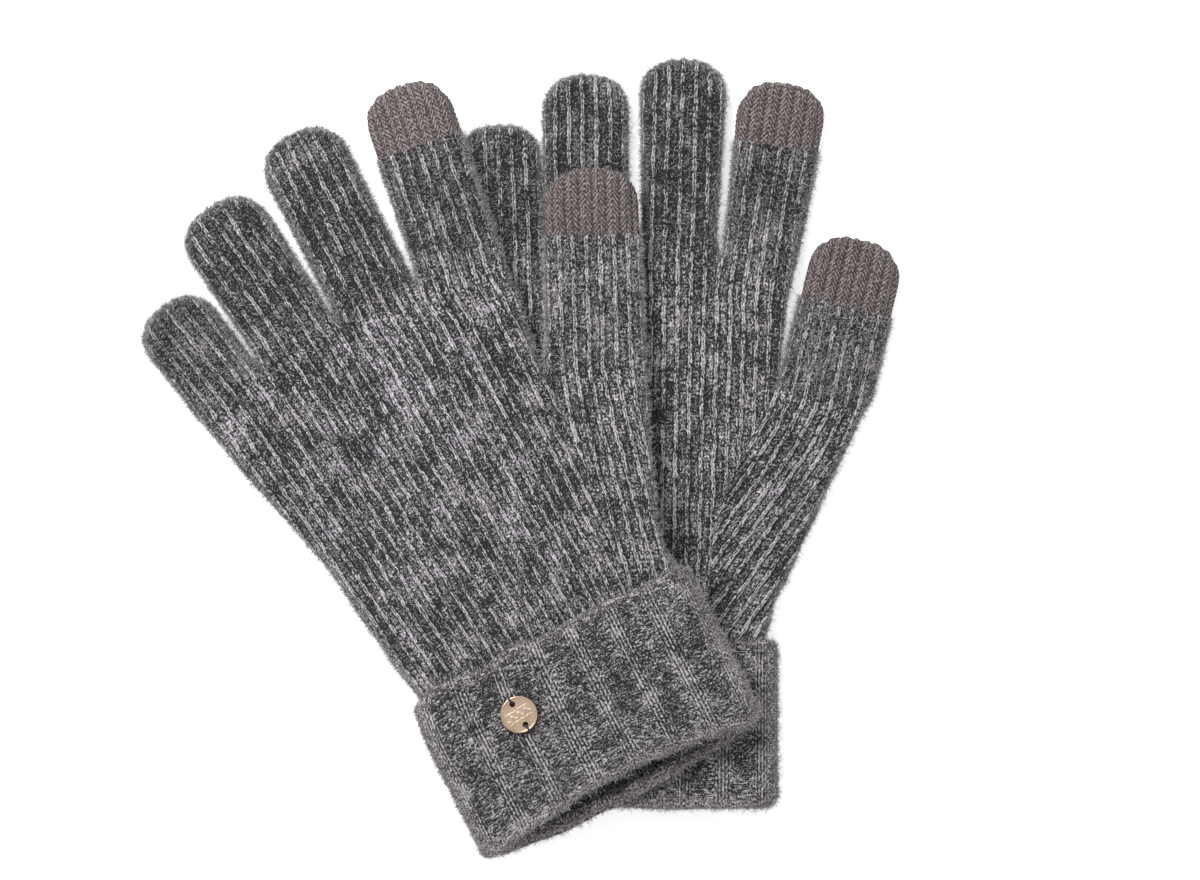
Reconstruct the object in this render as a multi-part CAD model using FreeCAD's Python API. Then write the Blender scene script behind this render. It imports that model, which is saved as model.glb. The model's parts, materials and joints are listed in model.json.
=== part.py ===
import FreeCAD, Part
import math
import os
from collections import namedtuple

# A pair of knitted touchscreen gloves, laid one across the other on a flat surface.
# The right-hand glove lies underneath with its palm up. The left-hand glove lies on top
# with its back up: its little-finger side rests on the surface, and from there it climbs
# over the glove below. Both cuffs are turned up. Units are millimetres and +Z is up. The
# origin is on the surface, under the middle of the pair.

Vector = FreeCAD.Vector

# Knitted fabric, and a flattened glove made of it
WALL = 2.0
GLOVE_THICKNESS = 9.0
EDGE_ROUND = 3.4
BODY_GAP = 0.3
FOLD_GAP = 0.35

# Extra length of a hollow past an open end, and depth that a finger's hollow runs into the palm
OPEN_END = 3.0
HOLLOW_OVERLAP = 9.0

# Cutting shapes that only have to be bigger than the gloves
LAYER_REACH = 400.0
PRISM_DEPTH = 100.0
SLICE_HALF_WIDTH = 30.0

# Turned-up cuff: a tube at the wrist, with the folded-back fabric around it
CUFF_WALL = 2.5
CUFF_THICKNESS = GLOVE_THICKNESS + 2 * (CUFF_WALL + BODY_GAP)
CUFF_ROUND = 5.0
CUFF_RIM = 4.7
CUFF_RIM_ROUND = 2.0
WRIST_LIFT = CUFF_WALL + BODY_GAP
WRIST_SHOWS = 3.0
PALM_RISE_LENGTH = 20.0
PALM_RISE_STEPS = 8
ELASTIC_SIZE = 0.8
ELASTIC_LOOPS = 3
ELASTIC_SPACING = 12.0

# Yarn end knotted inside each fingertip
KNOT_RADIUS = 1.3
KNOT_CLEARANCE = 0.3
TAIL_RADIUS = 0.5
TAIL_LENGTH = 7.0

# Where the upper glove rests, and how it climbs
SURFACE_CLEARANCE = 0.15
UPPER_REST = GLOVE_THICKNESS + 0.25
UPPER_CUFF_REST = CUFF_THICKNESS + 0.3
DRAPE_FOOT_X = -52.0
DRAPE_CREST_X = -20.5
WRIST_CLIMB_FOOT = 14.0
WRIST_CLIMB_CREST = -50.0
DRAPE_GRID = 9.0
DRAPE_CORNER = (-115.0, -92.0)
DRAPE_COLUMNS = 22
DRAPE_ROWS = 26

# Disc charm sewn on the upper cuff
CHARM_CENTRE = (-0.2, -83.7)
CHARM_LEAN = 33.0
CHARM_RADIUS = 6.1
CHARM_THICKNESS = 0.8
CHARM_FLOAT = 1.0
CHARM_HOLE_RADIUS = 1.0
CHARM_HOLE_OFFSET = 4.0
CHARM_BEVEL = 0.2
THREAD_RADIUS = 0.32
THREAD_RISE = 0.9
THREAD_OUTSIDE = 1.1

# A finger is placed by the middle of its root. Its lean is in degrees from +Y towards -X.
Finger = namedtuple("Finger", "x y lean length root_width tip_width touch_tip")

RIGHT_FINGERS = {
    "little_finger": Finger(-5.2, 54.0, 2.0, 56.0, 26.0, 26.5, 0),
    "ring_finger": Finger(22.0, 58.0, 0.4, 68.7, 27.2, 27.7, 0),
    "middle_finger": Finger(52.5, 70.0, -1.5, 61.7, 24.0, 28.0, 0),
    "index_finger": Finger(77.9, 58.5, -7.8, 66.5, 26.0, 29.0, 21.0),
    "thumb": Finger(100.5, 21.0, -14.0, 53.0, 31.4, 30.6, 23.0),
}
LEFT_FINGERS = {
    "little_finger": Finger(-96.1, 21.3, 38.0, 37.0, 25.4, 26.8, 0),
    "ring_finger": Finger(-72.5, 37.6, 33.0, 54.0, 29.0, 28.6, 0),
    "middle_finger": Finger(-47.0, 51.0, 26.0, 63.0, 28.0, 27.2, 0),
    "index_finger": Finger(-19.1, 61.6, 18.5, 64.7, 28.8, 28.3, 21.0),
    "thumb": Finger(25.0, 33.0, 1.6, 63.0, 32.4, 30.6, 22.0),
}
TOUCH_TIP_NAMES = {"index_finger": "index_touch_tip", "thumb": "thumb_touch_tip"}

# A cuff is placed by the middle of its turned-up band. Its base is its height off the surface.
Cuff = namedtuple("Cuff", "x y lean width length base")

RIGHT_CUFF = Cuff(36.6, -87.1, 0.0, 96.4, 56.2, 0.0)
LEFT_CUFF = Cuff(22.6, -82.6, 27.0, 100.3, 58.4, UPPER_CUFF_REST)

# Edges of each palm between the cuff and the fingers
RIGHT_LITTLE_SIDE = [(-13.0, -46.0), (-17.0, 0.0)]
RIGHT_THUMB_CROTCH = (84.6, 23.4)
RIGHT_THUMB_SIDE = [(111.0, 4.5), (104.5, -9.5), (95.7, -33.3), (89.0, -47.5)]
LEFT_LITTLE_SIDE = [(-40.5, -69.0), (-92.4, -4.2)]
LEFT_THUMB_CROTCH = (7.6, 28.7)
LEFT_THUMB_SIDE = [(42.9, 4.3), (44.9, -20.0), (47.5, -30.0)]


def axis_of(lean):
    """Unit vector along a finger or a cuff, towards the fingertips."""
    angle = math.radians(lean)
    return Vector(-math.sin(angle), math.cos(angle), 0)


def across_of(lean):
    """Unit vector across a finger or a cuff, towards its right."""
    angle = math.radians(lean)
    return Vector(math.cos(angle), math.sin(angle), 0)


def smooth_step(value):
    value = min(max(value, 0.0), 1.0)
    return value * value * (3.0 - 2.0 * value)


def upper_underside(x, y):
    """Height of the upper glove's underside over the surface."""
    over_glove = smooth_step((x - DRAPE_FOOT_X) / (DRAPE_CREST_X - DRAPE_FOOT_X))
    palm_level = over_glove * UPPER_REST
    station = Vector(x, y, 0).dot(axis_of(LEFT_CUFF.lean))
    climb = smooth_step((WRIST_CLIMB_FOOT - station) / (WRIST_CLIMB_FOOT - WRIST_CLIMB_CREST))
    wrist_level = LEFT_CUFF.base + WRIST_LIFT
    return SURFACE_CLEARANCE + palm_level + (wrist_level - SURFACE_CLEARANCE - palm_level) * climb


def flat_layer(low, high):
    """Everything between two heights over the surface."""
    corner = Vector(-LAYER_REACH / 2, -LAYER_REACH / 2, low)
    return Part.makeBox(LAYER_REACH, LAYER_REACH, high - low, corner)


def draped_layer(low, high):
    """Everything between two heights over the upper glove's draped underside."""
    grid = []
    for column in range(DRAPE_COLUMNS):
        x = DRAPE_CORNER[0] + column * DRAPE_GRID
        heights = []
        for row in range(DRAPE_ROWS):
            y = DRAPE_CORNER[1] + row * DRAPE_GRID
            heights.append(Vector(x, y, upper_underside(x, y) + low))
        grid.append(heights)
    sheet = Part.BSplineSurface()
    sheet.interpolate(grid)
    return sheet.toShape().extrude(Vector(0, 0, high - low))


def rising_layer(low, high):
    """Everything between two heights over the lower glove's underside.

    The underside is flat under the palm and rises into the thicker cuff.
    """
    reach = LAYER_REACH / 2
    wrist_end = RIGHT_CUFF.y + RIGHT_CUFF.length / 2 + WRIST_SHOWS
    outline = []
    for height in (low, high):
        rise = []
        for step in range(PALM_RISE_STEPS + 1):
            share = step / PALM_RISE_STEPS
            y = wrist_end + PALM_RISE_LENGTH * (1 - share)
            rise.append(Vector(-reach, y, height + WRIST_LIFT * smooth_step(share)))
        curve = Part.BSplineCurve()
        curve.interpolate(rise)
        outline.append(Part.makeLine(Vector(-reach, reach, height), rise[0]))
        outline.append(curve.toShape())
        outline.append(Part.makeLine(rise[-1], rise[-1] - Vector(0, OPEN_END, 0)))
    fingers_end = Vector(-reach, reach, 0)
    wrist_low = Vector(-reach, wrist_end - OPEN_END, WRIST_LIFT)
    for corner in (fingers_end, wrist_low):
        outline.append(Part.makeLine(corner + Vector(0, 0, low), corner + Vector(0, 0, high)))
    profile = Part.Face(Part.Wire(Part.__sortEdges__(outline)))
    return profile.extrude(Vector(2 * reach, 0, 0))


def prism(points):
    """Upright prism over a closed outline of (x, y) points."""
    corners = [Vector(x, y, -PRISM_DEPTH / 2) for x, y in points]
    corners.append(corners[0])
    return Part.Face(Part.makePolygon(corners)).extrude(Vector(0, 0, PRISM_DEPTH))


def point_on(finger, along, aside):
    """Point of a finger's plan: along its axis from the root, and aside to its right."""
    point = Vector(finger.x, finger.y, 0)
    return point + axis_of(finger.lean) * along + across_of(finger.lean) * aside


def finger_prism(finger, inset, start):
    """Upright prism over a finger's outline, drawn in by inset, from start along its axis."""
    tip = finger.length - inset
    half_root = finger.root_width / 2 - inset
    half_tip = finger.tip_width / 2 - inset
    shoulder = tip - half_tip
    low = Vector(0, 0, -PRISM_DEPTH / 2)
    root_left = point_on(finger, start, -half_root) + low
    root_right = point_on(finger, start, half_root) + low
    tip_left = point_on(finger, shoulder, -half_tip) + low
    tip_right = point_on(finger, shoulder, half_tip) + low
    tip_middle = point_on(finger, tip, 0) + low
    outline = [
        Part.makeLine(root_left, root_right),
        Part.makeLine(root_right, tip_right),
        Part.Arc(tip_right, tip_middle, tip_left).toShape(),
        Part.makeLine(tip_left, root_left),
    ]
    return Part.Face(Part.Wire(outline)).extrude(Vector(0, 0, PRISM_DEPTH))


def slice_of_finger(finger, start, end):
    """Box across a finger, from start to end along its axis."""
    corners = [
        point_on(finger, start, -SLICE_HALF_WIDTH),
        point_on(finger, start, SLICE_HALF_WIDTH),
        point_on(finger, end, SLICE_HALF_WIDTH),
        point_on(finger, end, -SLICE_HALF_WIDTH),
    ]
    return prism([(corner.x, corner.y) for corner in corners])


def round_long_edges(solid, radius, open_ends):
    """Round the upper and lower edges, except those on the cut ends in open_ends.

    Each open end is a point on the cut and the direction that the cut faces.
    """
    flat_enough = 0.05
    edges = []
    for edge in solid.Edges:
        first = edge.valueAt(edge.FirstParameter)
        last = edge.valueAt(edge.LastParameter)
        upright = (last - first).normalize().z if first.distanceToPoint(last) > flat_enough else 0
        on_cut = False
        for point, direction in open_ends:
            near = abs((first - point).dot(direction)) < flat_enough
            far = abs((last - point).dot(direction)) < flat_enough
            on_cut = on_cut or (near and far)
        if abs(upright) < 0.9 and not on_cut:
            edges.append(edge)
    return solid.makeFillet(radius, edges)


def make_finger(finger, layer_of):
    """Hollow finger stall, open at its root."""
    outer = finger_prism(finger, 0, FOLD_GAP).common(layer_of(0, GLOVE_THICKNESS)).Solids[0]
    root = [(point_on(finger, FOLD_GAP, 0), axis_of(finger.lean))]
    outer = round_long_edges(outer, EDGE_ROUND, root)
    inner = finger_prism(finger, WALL, -OPEN_END)
    inner = inner.common(layer_of(WALL, GLOVE_THICKNESS - WALL))
    return outer.cut(inner).Solids[0]


def make_knot(finger, underside):
    """Knotted yarn end lying inside a fingertip."""
    middle = point_on(finger, finger.length - WALL - KNOT_RADIUS - KNOT_CLEARANCE, 0)
    floor = max(underside(middle.x, middle.y), underside(middle.x + KNOT_RADIUS, middle.y))
    middle.z = floor + WALL + KNOT_RADIUS + KNOT_CLEARANCE
    knot = Part.makeSphere(KNOT_RADIUS, middle)
    tail = Part.makeCylinder(TAIL_RADIUS, TAIL_LENGTH, middle, axis_of(finger.lean) * -1)
    return knot.fuse(tail)


def draw_in(corners, inset):
    """Corners of a clockwise outline, moved in by inset from every side."""
    moved = []
    for index, corner in enumerate(corners):
        before = (corner - corners[index - 1]).normalize()
        after = (corners[(index + 1) % len(corners)] - corner).normalize()
        inward = Vector(before.y + after.y, -before.x - after.x, 0).normalize()
        reach = inset / inward.dot(Vector(after.y, -after.x, 0))
        moved.append(corner + inward * reach)
    return [(point.x, point.y) for point in moved]


def hand_outline(fingers, cuff, little_side, thumb_crotch, thumb_side):
    """Corners of a palm, round from the wrist, with a straight cut at each finger's root."""
    half_tube = cuff.width / 2 - CUFF_WALL - BODY_GAP
    wrist_middle = Vector(cuff.x, cuff.y, 0)
    wrist_middle += axis_of(cuff.lean) * (cuff.length / 2 + WRIST_SHOWS)
    corners = [wrist_middle - across_of(cuff.lean) * half_tube]
    corners += [Vector(x, y, 0) for x, y in little_side]
    for name in ("little_finger", "ring_finger", "middle_finger", "index_finger", "thumb"):
        finger = fingers[name]
        if name == "thumb":
            corners.append(Vector(thumb_crotch[0], thumb_crotch[1], 0))
        corners.append(point_on(finger, 0, -finger.root_width / 2))
        corners.append(point_on(finger, 0, finger.root_width / 2))
    corners += [Vector(x, y, 0) for x, y in thumb_side]
    corners.append(wrist_middle + across_of(cuff.lean) * half_tube)
    return corners


def make_hand(fingers, cuff, little_side, thumb_crotch, thumb_side, layer_of):
    """Hollow palm, open at the wrist and at each finger's root."""
    corners = hand_outline(fingers, cuff, little_side, thumb_crotch, thumb_side)
    outline = [(corner.x, corner.y) for corner in corners]
    outer = prism(outline).common(layer_of(0, GLOVE_THICKNESS)).Solids[0]

    cavity = prism(draw_in(corners, WALL))
    for finger in fingers.values():
        stub = finger_prism(finger, WALL, -HOLLOW_OVERLAP)
        cavity = cavity.fuse(stub.common(slice_of_finger(finger, -HOLLOW_OVERLAP, OPEN_END)))
    wrist = Vector(cuff.x, cuff.y, 0) + axis_of(cuff.lean) * (cuff.length / 2 + WRIST_SHOWS)
    half_tube = cuff.width / 2 - CUFF_WALL - BODY_GAP - WALL
    mouth = [
        wrist - across_of(cuff.lean) * half_tube - axis_of(cuff.lean) * OPEN_END,
        wrist + across_of(cuff.lean) * half_tube - axis_of(cuff.lean) * OPEN_END,
        wrist + across_of(cuff.lean) * half_tube + axis_of(cuff.lean) * HOLLOW_OVERLAP,
        wrist - across_of(cuff.lean) * half_tube + axis_of(cuff.lean) * HOLLOW_OVERLAP,
    ]
    cavity = cavity.fuse(prism([(corner.x, corner.y) for corner in mouth]))
    cavity = cavity.common(layer_of(WALL, GLOVE_THICKNESS - WALL))
    return outer.cut(cavity).Solids[0]


def cuff_box(cuff, side_inset, base_inset, low_end, high_end):
    """Box in a cuff's frame, from low_end to high_end along it from the cuff's middle."""
    return Part.makeBox(
        cuff.width - 2 * side_inset,
        high_end - low_end,
        CUFF_THICKNESS - 2 * base_inset,
        Vector(side_inset - cuff.width / 2, low_end, base_inset),
    )


def place_on_cuff(shape, cuff):
    """Turn and move a shape made in a cuff's own frame to where the cuff lies."""
    turn = FreeCAD.Rotation(Vector(0, 0, 1), cuff.lean)
    shape.Placement = FreeCAD.Placement(Vector(cuff.x, cuff.y, cuff.base), turn)
    return shape


def lengthwise_edges(box):
    """The four edges of a cuff's box that run along the cuff."""
    edges = []
    for edge in box.Edges:
        run = edge.valueAt(edge.LastParameter) - edge.valueAt(edge.FirstParameter)
        if abs(run.normalize().y) > 0.9:
            edges.append(edge)
    return edges


def make_wrist_rib(cuff, elastic):
    """Ribbed tube at the wrist, grooved for the elastic that lies in it."""
    inset = CUFF_WALL + BODY_GAP
    low_end = CUFF_RIM + BODY_GAP - cuff.length / 2
    high_end = cuff.length / 2 + WRIST_SHOWS
    tube = cuff_box(cuff, inset, inset, low_end, high_end)
    hollow = cuff_box(cuff, inset + WALL, inset + WALL, low_end - OPEN_END, high_end + OPEN_END)
    return tube.makeFillet(EDGE_ROUND, lengthwise_edges(tube)).cut(hollow).cut(elastic)


def make_elastic(cuff):
    """Loops of elastic thread round the wrist, one behind another."""
    inset = CUFF_WALL + BODY_GAP
    loops = []
    for index in range(ELASTIC_LOOPS):
        low_end = (index - (ELASTIC_LOOPS - 1) / 2) * ELASTIC_SPACING
        high_end = low_end + ELASTIC_SIZE
        loop = cuff_box(cuff, inset, inset, low_end, high_end)
        loop = loop.makeFillet(EDGE_ROUND, lengthwise_edges(loop))
        bore = cuff_box(
            cuff, inset + ELASTIC_SIZE, inset + ELASTIC_SIZE, low_end - OPEN_END, high_end + OPEN_END
        )
        bore = bore.makeFillet(EDGE_ROUND - ELASTIC_SIZE, lengthwise_edges(bore))
        loops.append(loop.cut(bore))
    return Part.makeCompound(loops)


def make_turn_up(cuff):
    """Folded-back band round the wrist, with the rolled rim where it folds."""
    half = cuff.length / 2
    band = cuff_box(cuff, 0, 0, -half, half)
    band = band.makeFillet(CUFF_ROUND, lengthwise_edges(band))
    rim_edges = []
    for edge in band.Edges:
        if abs(edge.CenterOfMass.y + half) < 0.01:
            rim_edges.append(edge)
    band = band.makeFillet(CUFF_RIM_ROUND, rim_edges)
    pocket = cuff_box(cuff, CUFF_WALL, CUFF_WALL, CUFF_RIM - half, half + OPEN_END)
    pocket = pocket.makeFillet(EDGE_ROUND, lengthwise_edges(pocket))
    mouth_inset = CUFF_WALL + BODY_GAP + WALL
    mouth = cuff_box(cuff, mouth_inset, mouth_inset, -half - OPEN_END, CUFF_RIM)
    return band.cut(pocket).cut(mouth)


def charm_point(along, aside, height):
    """Point by the charm: along the line of its holes, aside from it, and over its cuff."""
    point = Vector(CHARM_CENTRE[0], CHARM_CENTRE[1], LEFT_CUFF.base + CUFF_THICKNESS + height)
    return point + axis_of(CHARM_LEAN) * along + across_of(CHARM_LEAN) * aside


def make_charm_disc():
    """Thin round charm with two sewing holes."""
    up = Vector(0, 0, 1)
    disc = Part.makeCylinder(CHARM_RADIUS, CHARM_THICKNESS, charm_point(0, 0, CHARM_FLOAT), up)
    disc = disc.makeChamfer(CHARM_BEVEL, [edge for edge in disc.Edges if edge.Length > CHARM_RADIUS])
    for side in (-1, 1):
        start = charm_point(side * CHARM_HOLE_OFFSET, 0, 0)
        disc = disc.cut(Part.makeCylinder(CHARM_HOLE_RADIUS, 2 * (CHARM_FLOAT + CHARM_THICKNESS), start, up))
    return disc


def make_charm_thread():
    """Two stitches, each up through a hole and down over the rim into the cuff."""
    up = Vector(0, 0, 1)
    top = CHARM_FLOAT + CHARM_THICKNESS + THREAD_RISE
    outside = CHARM_RADIUS + THREAD_OUTSIDE
    stitches = []
    for side in (-1, 1):
        inner = charm_point(side * CHARM_HOLE_OFFSET, 0, 0)
        outer = charm_point(side * outside, 0, 0)
        bridge_start = charm_point(side * CHARM_HOLE_OFFSET, 0, top)
        length = outside - CHARM_HOLE_OFFSET
        stitch = Part.makeCylinder(THREAD_RADIUS, top, inner, up)
        stitch = stitch.fuse(Part.makeCylinder(THREAD_RADIUS, top, outer, up))
        bridge = Part.makeCylinder(THREAD_RADIUS, length, bridge_start, axis_of(CHARM_LEAN) * side)
        stitch = stitch.fuse(bridge)
        for end in (bridge_start, charm_point(side * outside, 0, top)):
            stitch = stitch.fuse(Part.makeSphere(THREAD_RADIUS, end))
        stitches.append(stitch)
    return Part.makeCompound(stitches)


def save(name, shape):
    shape.exportStep("parts/" + name + ".step")
    print(name, len(shape.Solids), "solid,", round(shape.Volume), "mm3, valid", shape.isValid())


def save_glove(side, fingers, cuff, hand, layer_of_finger, underside):
    """Write every piece of one glove."""
    save(side + "_hand", hand)
    for name, finger in fingers.items():
        stall = make_finger(finger, layer_of_finger(name))
        save(side + "_" + name + "_yarn_knot", make_knot(finger, underside))
        if finger.touch_tip:
            start = finger.length - finger.touch_tip
            tip = stall.common(slice_of_finger(finger, start, finger.length + OPEN_END))
            save(side + "_" + TOUCH_TIP_NAMES[name], tip.Solids[0])
            stall = stall.common(slice_of_finger(finger, -OPEN_END, start)).Solids[0]
        save(side + "_" + name, stall)
    elastic = make_elastic(cuff)
    save(side + "_wrist_rib", place_on_cuff(make_wrist_rib(cuff, elastic), cuff))
    save(side + "_wrist_elastic", place_on_cuff(elastic, cuff))
    save(side + "_turn_up_cuff", place_on_cuff(make_turn_up(cuff), cuff))


def main():
    os.makedirs("parts", exist_ok=True)
    right_hand = make_hand(RIGHT_FINGERS, RIGHT_CUFF, RIGHT_LITTLE_SIDE, RIGHT_THUMB_CROTCH,
                           RIGHT_THUMB_SIDE, rising_layer)
    save_glove("right", RIGHT_FINGERS, RIGHT_CUFF, right_hand, lambda name: flat_layer, lambda x, y: 0)
    left_hand = make_hand(LEFT_FINGERS, LEFT_CUFF, LEFT_LITTLE_SIDE, LEFT_THUMB_CROTCH,
                          LEFT_THUMB_SIDE, draped_layer)
    on_surface = ("little_finger", "ring_finger")
    save_glove("left", LEFT_FINGERS, LEFT_CUFF, left_hand,
               lambda name: flat_layer if name in on_surface else draped_layer, upper_underside)
    save("charm_disc", make_charm_disc())
    save("charm_thread", make_charm_thread())


main()
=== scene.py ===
import json
import math
from collections import namedtuple

import bpy
import numpy as np
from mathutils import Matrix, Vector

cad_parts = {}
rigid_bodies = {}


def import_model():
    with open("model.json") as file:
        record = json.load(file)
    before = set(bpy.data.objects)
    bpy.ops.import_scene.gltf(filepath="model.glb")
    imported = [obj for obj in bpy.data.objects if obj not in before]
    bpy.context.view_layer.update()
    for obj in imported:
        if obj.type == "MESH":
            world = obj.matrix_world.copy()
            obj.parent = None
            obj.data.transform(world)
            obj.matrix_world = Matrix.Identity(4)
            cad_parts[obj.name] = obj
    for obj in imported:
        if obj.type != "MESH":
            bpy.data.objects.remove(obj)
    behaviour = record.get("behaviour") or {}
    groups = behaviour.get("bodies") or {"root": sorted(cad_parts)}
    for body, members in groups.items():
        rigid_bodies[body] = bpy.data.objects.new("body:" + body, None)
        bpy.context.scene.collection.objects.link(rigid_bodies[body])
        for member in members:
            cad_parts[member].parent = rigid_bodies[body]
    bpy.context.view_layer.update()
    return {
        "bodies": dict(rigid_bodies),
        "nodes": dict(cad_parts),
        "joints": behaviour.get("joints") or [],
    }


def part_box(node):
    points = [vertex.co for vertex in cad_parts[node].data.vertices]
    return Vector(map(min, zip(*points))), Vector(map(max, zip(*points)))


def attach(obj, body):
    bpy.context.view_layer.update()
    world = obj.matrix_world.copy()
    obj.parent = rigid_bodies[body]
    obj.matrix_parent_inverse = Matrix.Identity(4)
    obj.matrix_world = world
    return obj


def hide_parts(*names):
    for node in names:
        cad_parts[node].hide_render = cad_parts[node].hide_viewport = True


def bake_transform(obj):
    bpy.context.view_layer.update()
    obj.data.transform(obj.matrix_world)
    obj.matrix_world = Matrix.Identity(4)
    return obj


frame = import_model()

# A pair of brushed rib-knit touchscreen gloves. Each glove is one knitted surface, worked out in
# millimetres from the CAD frame, then cut into a hand, fingers and touch tips. A wrist tube and a
# turned-up cuff are swept round the flattened wrist. Loose fibres are laid over all of it.
# Lengths are in millimetres, unless a comment says otherwise.

MM = 0.001
FINGER_NAMES = ("little_finger", "ring_finger", "middle_finger", "index_finger", "thumb")
TOUCH_TIPS = {"index_finger": "index_touch_tip", "thumb": "thumb_touch_tip"}
FINGER_OF_TIP = {tip: finger for finger, tip in TOUCH_TIPS.items()}

# Flattened knit
HALF_THICK = 4.2
EDGE_RADIUS = 4.4
FLOOR_GAP = 0.2
LOWEST = 0.05
UPPER_WOBBLE = 0.35
WOBBLE_LENGTH = 24.0
WOBBLE_SEED = 5
COLUMNS = 44
ROW_STEP = 0.6
WALE_PITCH = 4.5
COURSE_PITCH = 2.2
TOUCH_COURSE_PITCH = 1.7
ROOT_BLEND = 7.0
PATTERN_BLEND = 16.0
BASE_DEPTH = 4.0
ROOT_BAND = 0.4
OUTER_PART = 0.55
RELIEF = 0.9
# Share of the edge over which the knit is brushed: fibre haze, and painted light on rounded edges
# that lie in shade
BRUSHED_AND_LIT_SHARE = 0.5
WRIST_CROWDING = 0.035
WAVE_COUNT = 7
WAVE_SPREAD = 2.6
WELD_GRID = 0.004
STITCH_UV_SCALE = 100.0

# A finger's rounded end: its depth against its half width, and how its rows rise, narrow and thin
CROWN_DEPTH = 0.88
CROWN_RISE = 0.92
TIP_SQUARENESS = 0.78
CROWN_THINNING = 0.55

# Cuffs
CUFF_WALL = 2.5
CUFF_GAP = 0.3
CUFF_LIP = 4.7
CUFF_ROLL = 2.4
LIP_ROUND = 1.8
END_ROUND = 1.3
CUFF_RIB_PITCH = 13.4
CUFF_RIB_SHIFT = {"right": 2.3, "left": -0.4}
STRAND_GROUP = 4.8
STRAND_PITCH = 1.2
LOOP_PITCH = 1.4
CUFF_RELIEF = 0.9
CUFF_RELIEF_LEVEL = 0.7
CUFF_RELIEF_DEPTH = 1.5
CUFF_STEP = 0.5
CUFF_RIPPLE = 0.6
RIPPLE_LENGTH = 26.0
RIPPLE_SEED = 11
CORNER_EASE = 0.05
RIM_REACH = 30.0
HAND_INTO_CUFF = 1.0
# How far from its ends a cuff is brushed, and how much at the wrist end and at the sides. The
# brushing is fibre haze and also painted light, which lifts the rims and the sides that face away
# from the key light.
RIM_BRUSHED_AND_LIT = 6.0
WRIST_END_BRUSHED_AND_LIT = 0.35
SIDE_BRUSHED_AND_LIT = 0.55
# How far the mouth spreads on the charm's side, and how far its front and back lips stand apart
CUFF_SPREAD = {"right": 0.0, "left": 2.3}
CUFF_OPENING = {"right": (0.0, 0.0), "left": (5.3, 3.6)}
# The ribbed tube inside a cuff: how deep its two faces lie, its reach into the hand, and its ribs
TUBE_OUTER_DEPTH = 0.55
TUBE_INNER_DEPTH = 2.0
TUBE_INTO_HAND = 3.0
TUBE_RELIEF = 0.35

# Loose fibres: how many on each kind of piece and how long the longest is
FUZZ = {"hand": (19000, 4.2), "finger": (8000, 4.2), "touch": (600, 1.1), "cuff": (18000, 4.2)}
FUZZ_SEED = 100
CUFF_FUZZ_SEED = 7
# How densely they grow on the edges and on the underside, against the top. An edge is where the
# upright part of a normal is under EDGE_FACING.
EDGE_FUZZ = 4.5
UNDER_FUZZ = 0.3
EDGE_FACING = 0.6
# One fibre: its radius, how deep it is rooted, and the shortest as a share of the longest
FIBRE_RADIUS = 0.085
FIBRE_ROOT_DEPTH = 0.3
SHORTEST_SHARE = 0.28
# Corners of a fibre's triangular section, in radians
FIBRE_CORNERS = (0.0, 2.0944, 4.1888)
# Shares of light, grey and dark fibres. Those that stand up more than LIGHT_ABOVE are all light:
# painted light, which makes the pale halo round the edges.
FIBRE_SHARES = (0.28, 0.3, 0.42)
LIGHT_ABOVE = 0.5

# Charm
RIM_RADIUS = 0.3
RIM_STEPS = 97
RIM_SECTION_STEPS = 13
THREAD_PLY = 0.22
PLY_STEPS = 41
PLY_SECTION_STEPS = 11
STITCH_START = 4.0
STITCH_END = 7.1
STITCH_TURNS = 2.5

# Colours
CHARCOAL_DARK = (0.009, 0.008, 0.01, 1.0)
CHARCOAL_LIGHT = (0.6, 0.57, 0.605, 1.0)
# Greys of the brushed fibre haze, light enough to serve as painted light on edges and rims that lie
# in shade
HAZE_AND_EDGE_LIGHT_GREY = (0.36, 0.338, 0.35, 1.0)
CUFF_HAZE_AND_RIM_LIGHT_GREY = (0.47, 0.42, 0.4, 1.0)
TAUPE_DARK = (0.045, 0.034, 0.034, 1.0)
TAUPE_LIGHT = (0.34, 0.285, 0.28, 1.0)
# Rose gold from dark to light, blended into painted reflections on the charm
GOLD_DARK = (0.64, 0.44, 0.29, 1.0)
GOLD_LIGHT = (0.98, 0.79, 0.62, 1.0)
# Fibre materials, light to dark: a grey, and its red and blue against the green
FIBRES = [
    ("light_fibre", 0.46, 1.05, 1.04),
    ("grey_fibre", 0.22, 1.06, 1.04),
    ("dark_fibre", 0.04, 1.05, 1.1),
]
TOUCH_FIBRES = [
    ("light_touch_fibre", 0.27, 1.1, 0.98),
    ("touch_fibre", 0.16, 1.1, 0.98),
    ("dark_touch_fibre", 0.08, 1.1, 0.98),
]

# What the camera sees from straight above, in metres: the width at its level over the floor
VIEW_WIDTH = 0.396
VIEW_CENTRE = (0.0264, 0.0063)
VIEW_HEIGHT = 3.0
VIEW_LEVEL = 0.012
# Studio: the floor's half side, the key light's place and size in metres, and strengths
FLOOR_REACH = 40.0
KEY_PLACE = (-0.5, 0.6, 1.0)
KEY_SIZE = 0.6
KEY_POWER = 16.0
SKY_STRENGTH = 0.62

# How the upper glove climbs over the lower one, as the CAD model has it
UPPER_REST = 9.4
DRAPE_FOOT_X = -52.0
DRAPE_CREST_X = -20.5
WRIST_CLIMB_FOOT = 14.0
WRIST_CLIMB_CREST = -50.0
PALM_RISE_LENGTH = 20.0

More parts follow.
